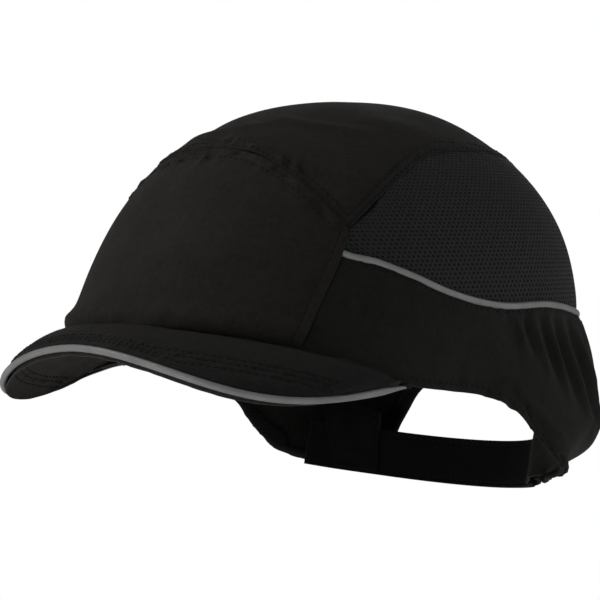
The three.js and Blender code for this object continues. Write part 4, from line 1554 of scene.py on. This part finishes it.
def area_light(name, place, target, size, power, color=(1, 1, 1)):
    lamp = bpy.data.lights.new(name, "AREA")
    lamp.shape = "SQUARE"
    lamp.size = size
    lamp.energy = power
    lamp.color = color
    light = bpy.data.objects.new(name, lamp)
    bpy.context.scene.collection.objects.link(light)
    light.location = place
    light.rotation_euler = (Vector(target) - Vector(place)).to_track_quat("-Z", "Y").to_euler()
    light.visible_camera = False


def lights():
    middle = (0, 0, 0.08)
    area_light("key", (-0.75, -0.95, 0.9), middle, 0.8, 4.7, (1.0, 0.97, 0.94))
    area_light("fill", (1.3, -0.5, 0.75), middle, 1.1, 0.5, (0.96, 0.98, 1.0))
    area_light("back", (0.9, 1.2, 0.9), middle, 0.9, 3)
    area_light("behind", (-1.1, 1.0, 0.8), middle, 0.9, 3)
    area_light("low", (-0.1, -1.4, -0.5), middle, 0.9, 2)


# The camera in the wearing frame: where it looks from, and its roll
CAMERA_AZIMUTH = 48.309
CAMERA_ELEVATION = -1.339
CAMERA_ROLL = -1.305
CAMERA_DISTANCE = 1021.7
CAMERA_TARGET = (0, 0, 45)
CAMERA_LENS = 137.5
AIM_RIGHT = -0.01386  # tangents that bring the cap to the middle of the picture
AIM_UP = -0.03547


def camera():
    azimuth, elevation, roll = (math.radians(a) for a in (CAMERA_AZIMUTH, CAMERA_ELEVATION, CAMERA_ROLL))
    near = math.cos(elevation)
    back = Vector((math.sin(azimuth) * near, -math.cos(azimuth) * near, math.sin(elevation)))
    level = Vector((math.cos(azimuth), math.sin(azimuth), 0))
    rise = back.cross(level)
    right = level * math.cos(roll) + rise * math.sin(roll)
    up = rise * math.cos(roll) - level * math.sin(roll)
    place = Vector(CAMERA_TARGET) + back * CAMERA_DISTANCE
    ahead = (-back + right * AIM_RIGHT + up * AIM_UP).normalized()
    right = (right - ahead * right.dot(ahead)).normalized()
    up = right.cross(ahead)
    turn = Matrix.Rotation(math.radians(SEAT_PITCH), 3, "X")
    lens = bpy.data.cameras.new("camera")
    lens.lens = CAMERA_LENS
    lens.sensor_width = 36
    eye = bpy.data.objects.new("camera", lens)
    bpy.context.scene.collection.objects.link(eye)
    axes = Matrix((turn @ right, turn @ up, turn @ -ahead)).transposed().to_4x4()
    axes.translation = (turn @ place + Vector((0, SEAT_SHIFT, SEAT_LIFT))) * MM
    eye.matrix_world = axes
    bpy.context.scene.camera = eye


camera()
studio()
lights()

front_cloth()
crown_cloth()
for side in (1, -1):
    side_cloth_panel(side)
    mesh_panel(side)
    side_piping(side)
    rim_facing(side)
    hem_roll(side)
arch_binding()
back_seam_cover()
seam_tapes()

peak_cover(True)
peak_cover(False)
peak_board()
peak_piping()

sweatband()
crown_pad()
foam_pad("foam_front", "pad_front", (-34, 34), (37, 70))
foam_pad("foam_left", "pad_side_left", (58, 112), (24, 62))
foam_pad("foam_right", "pad_side_right", (-112, -58), (24, 62))
foam_pad("foam_rear", "pad_rear", (146, 214), (14, 60))
care_label()

loop_strap()
loop_patch()
right_lining()
left_lining()
strap_base()
hook_tab()
hook_patch()

# The shell keeps its CAD mesh and gets a plastic of its own
shell_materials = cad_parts["impact_shell"].data.materials
shell_materials.clear()
shell_materials.append(shell_plastic)
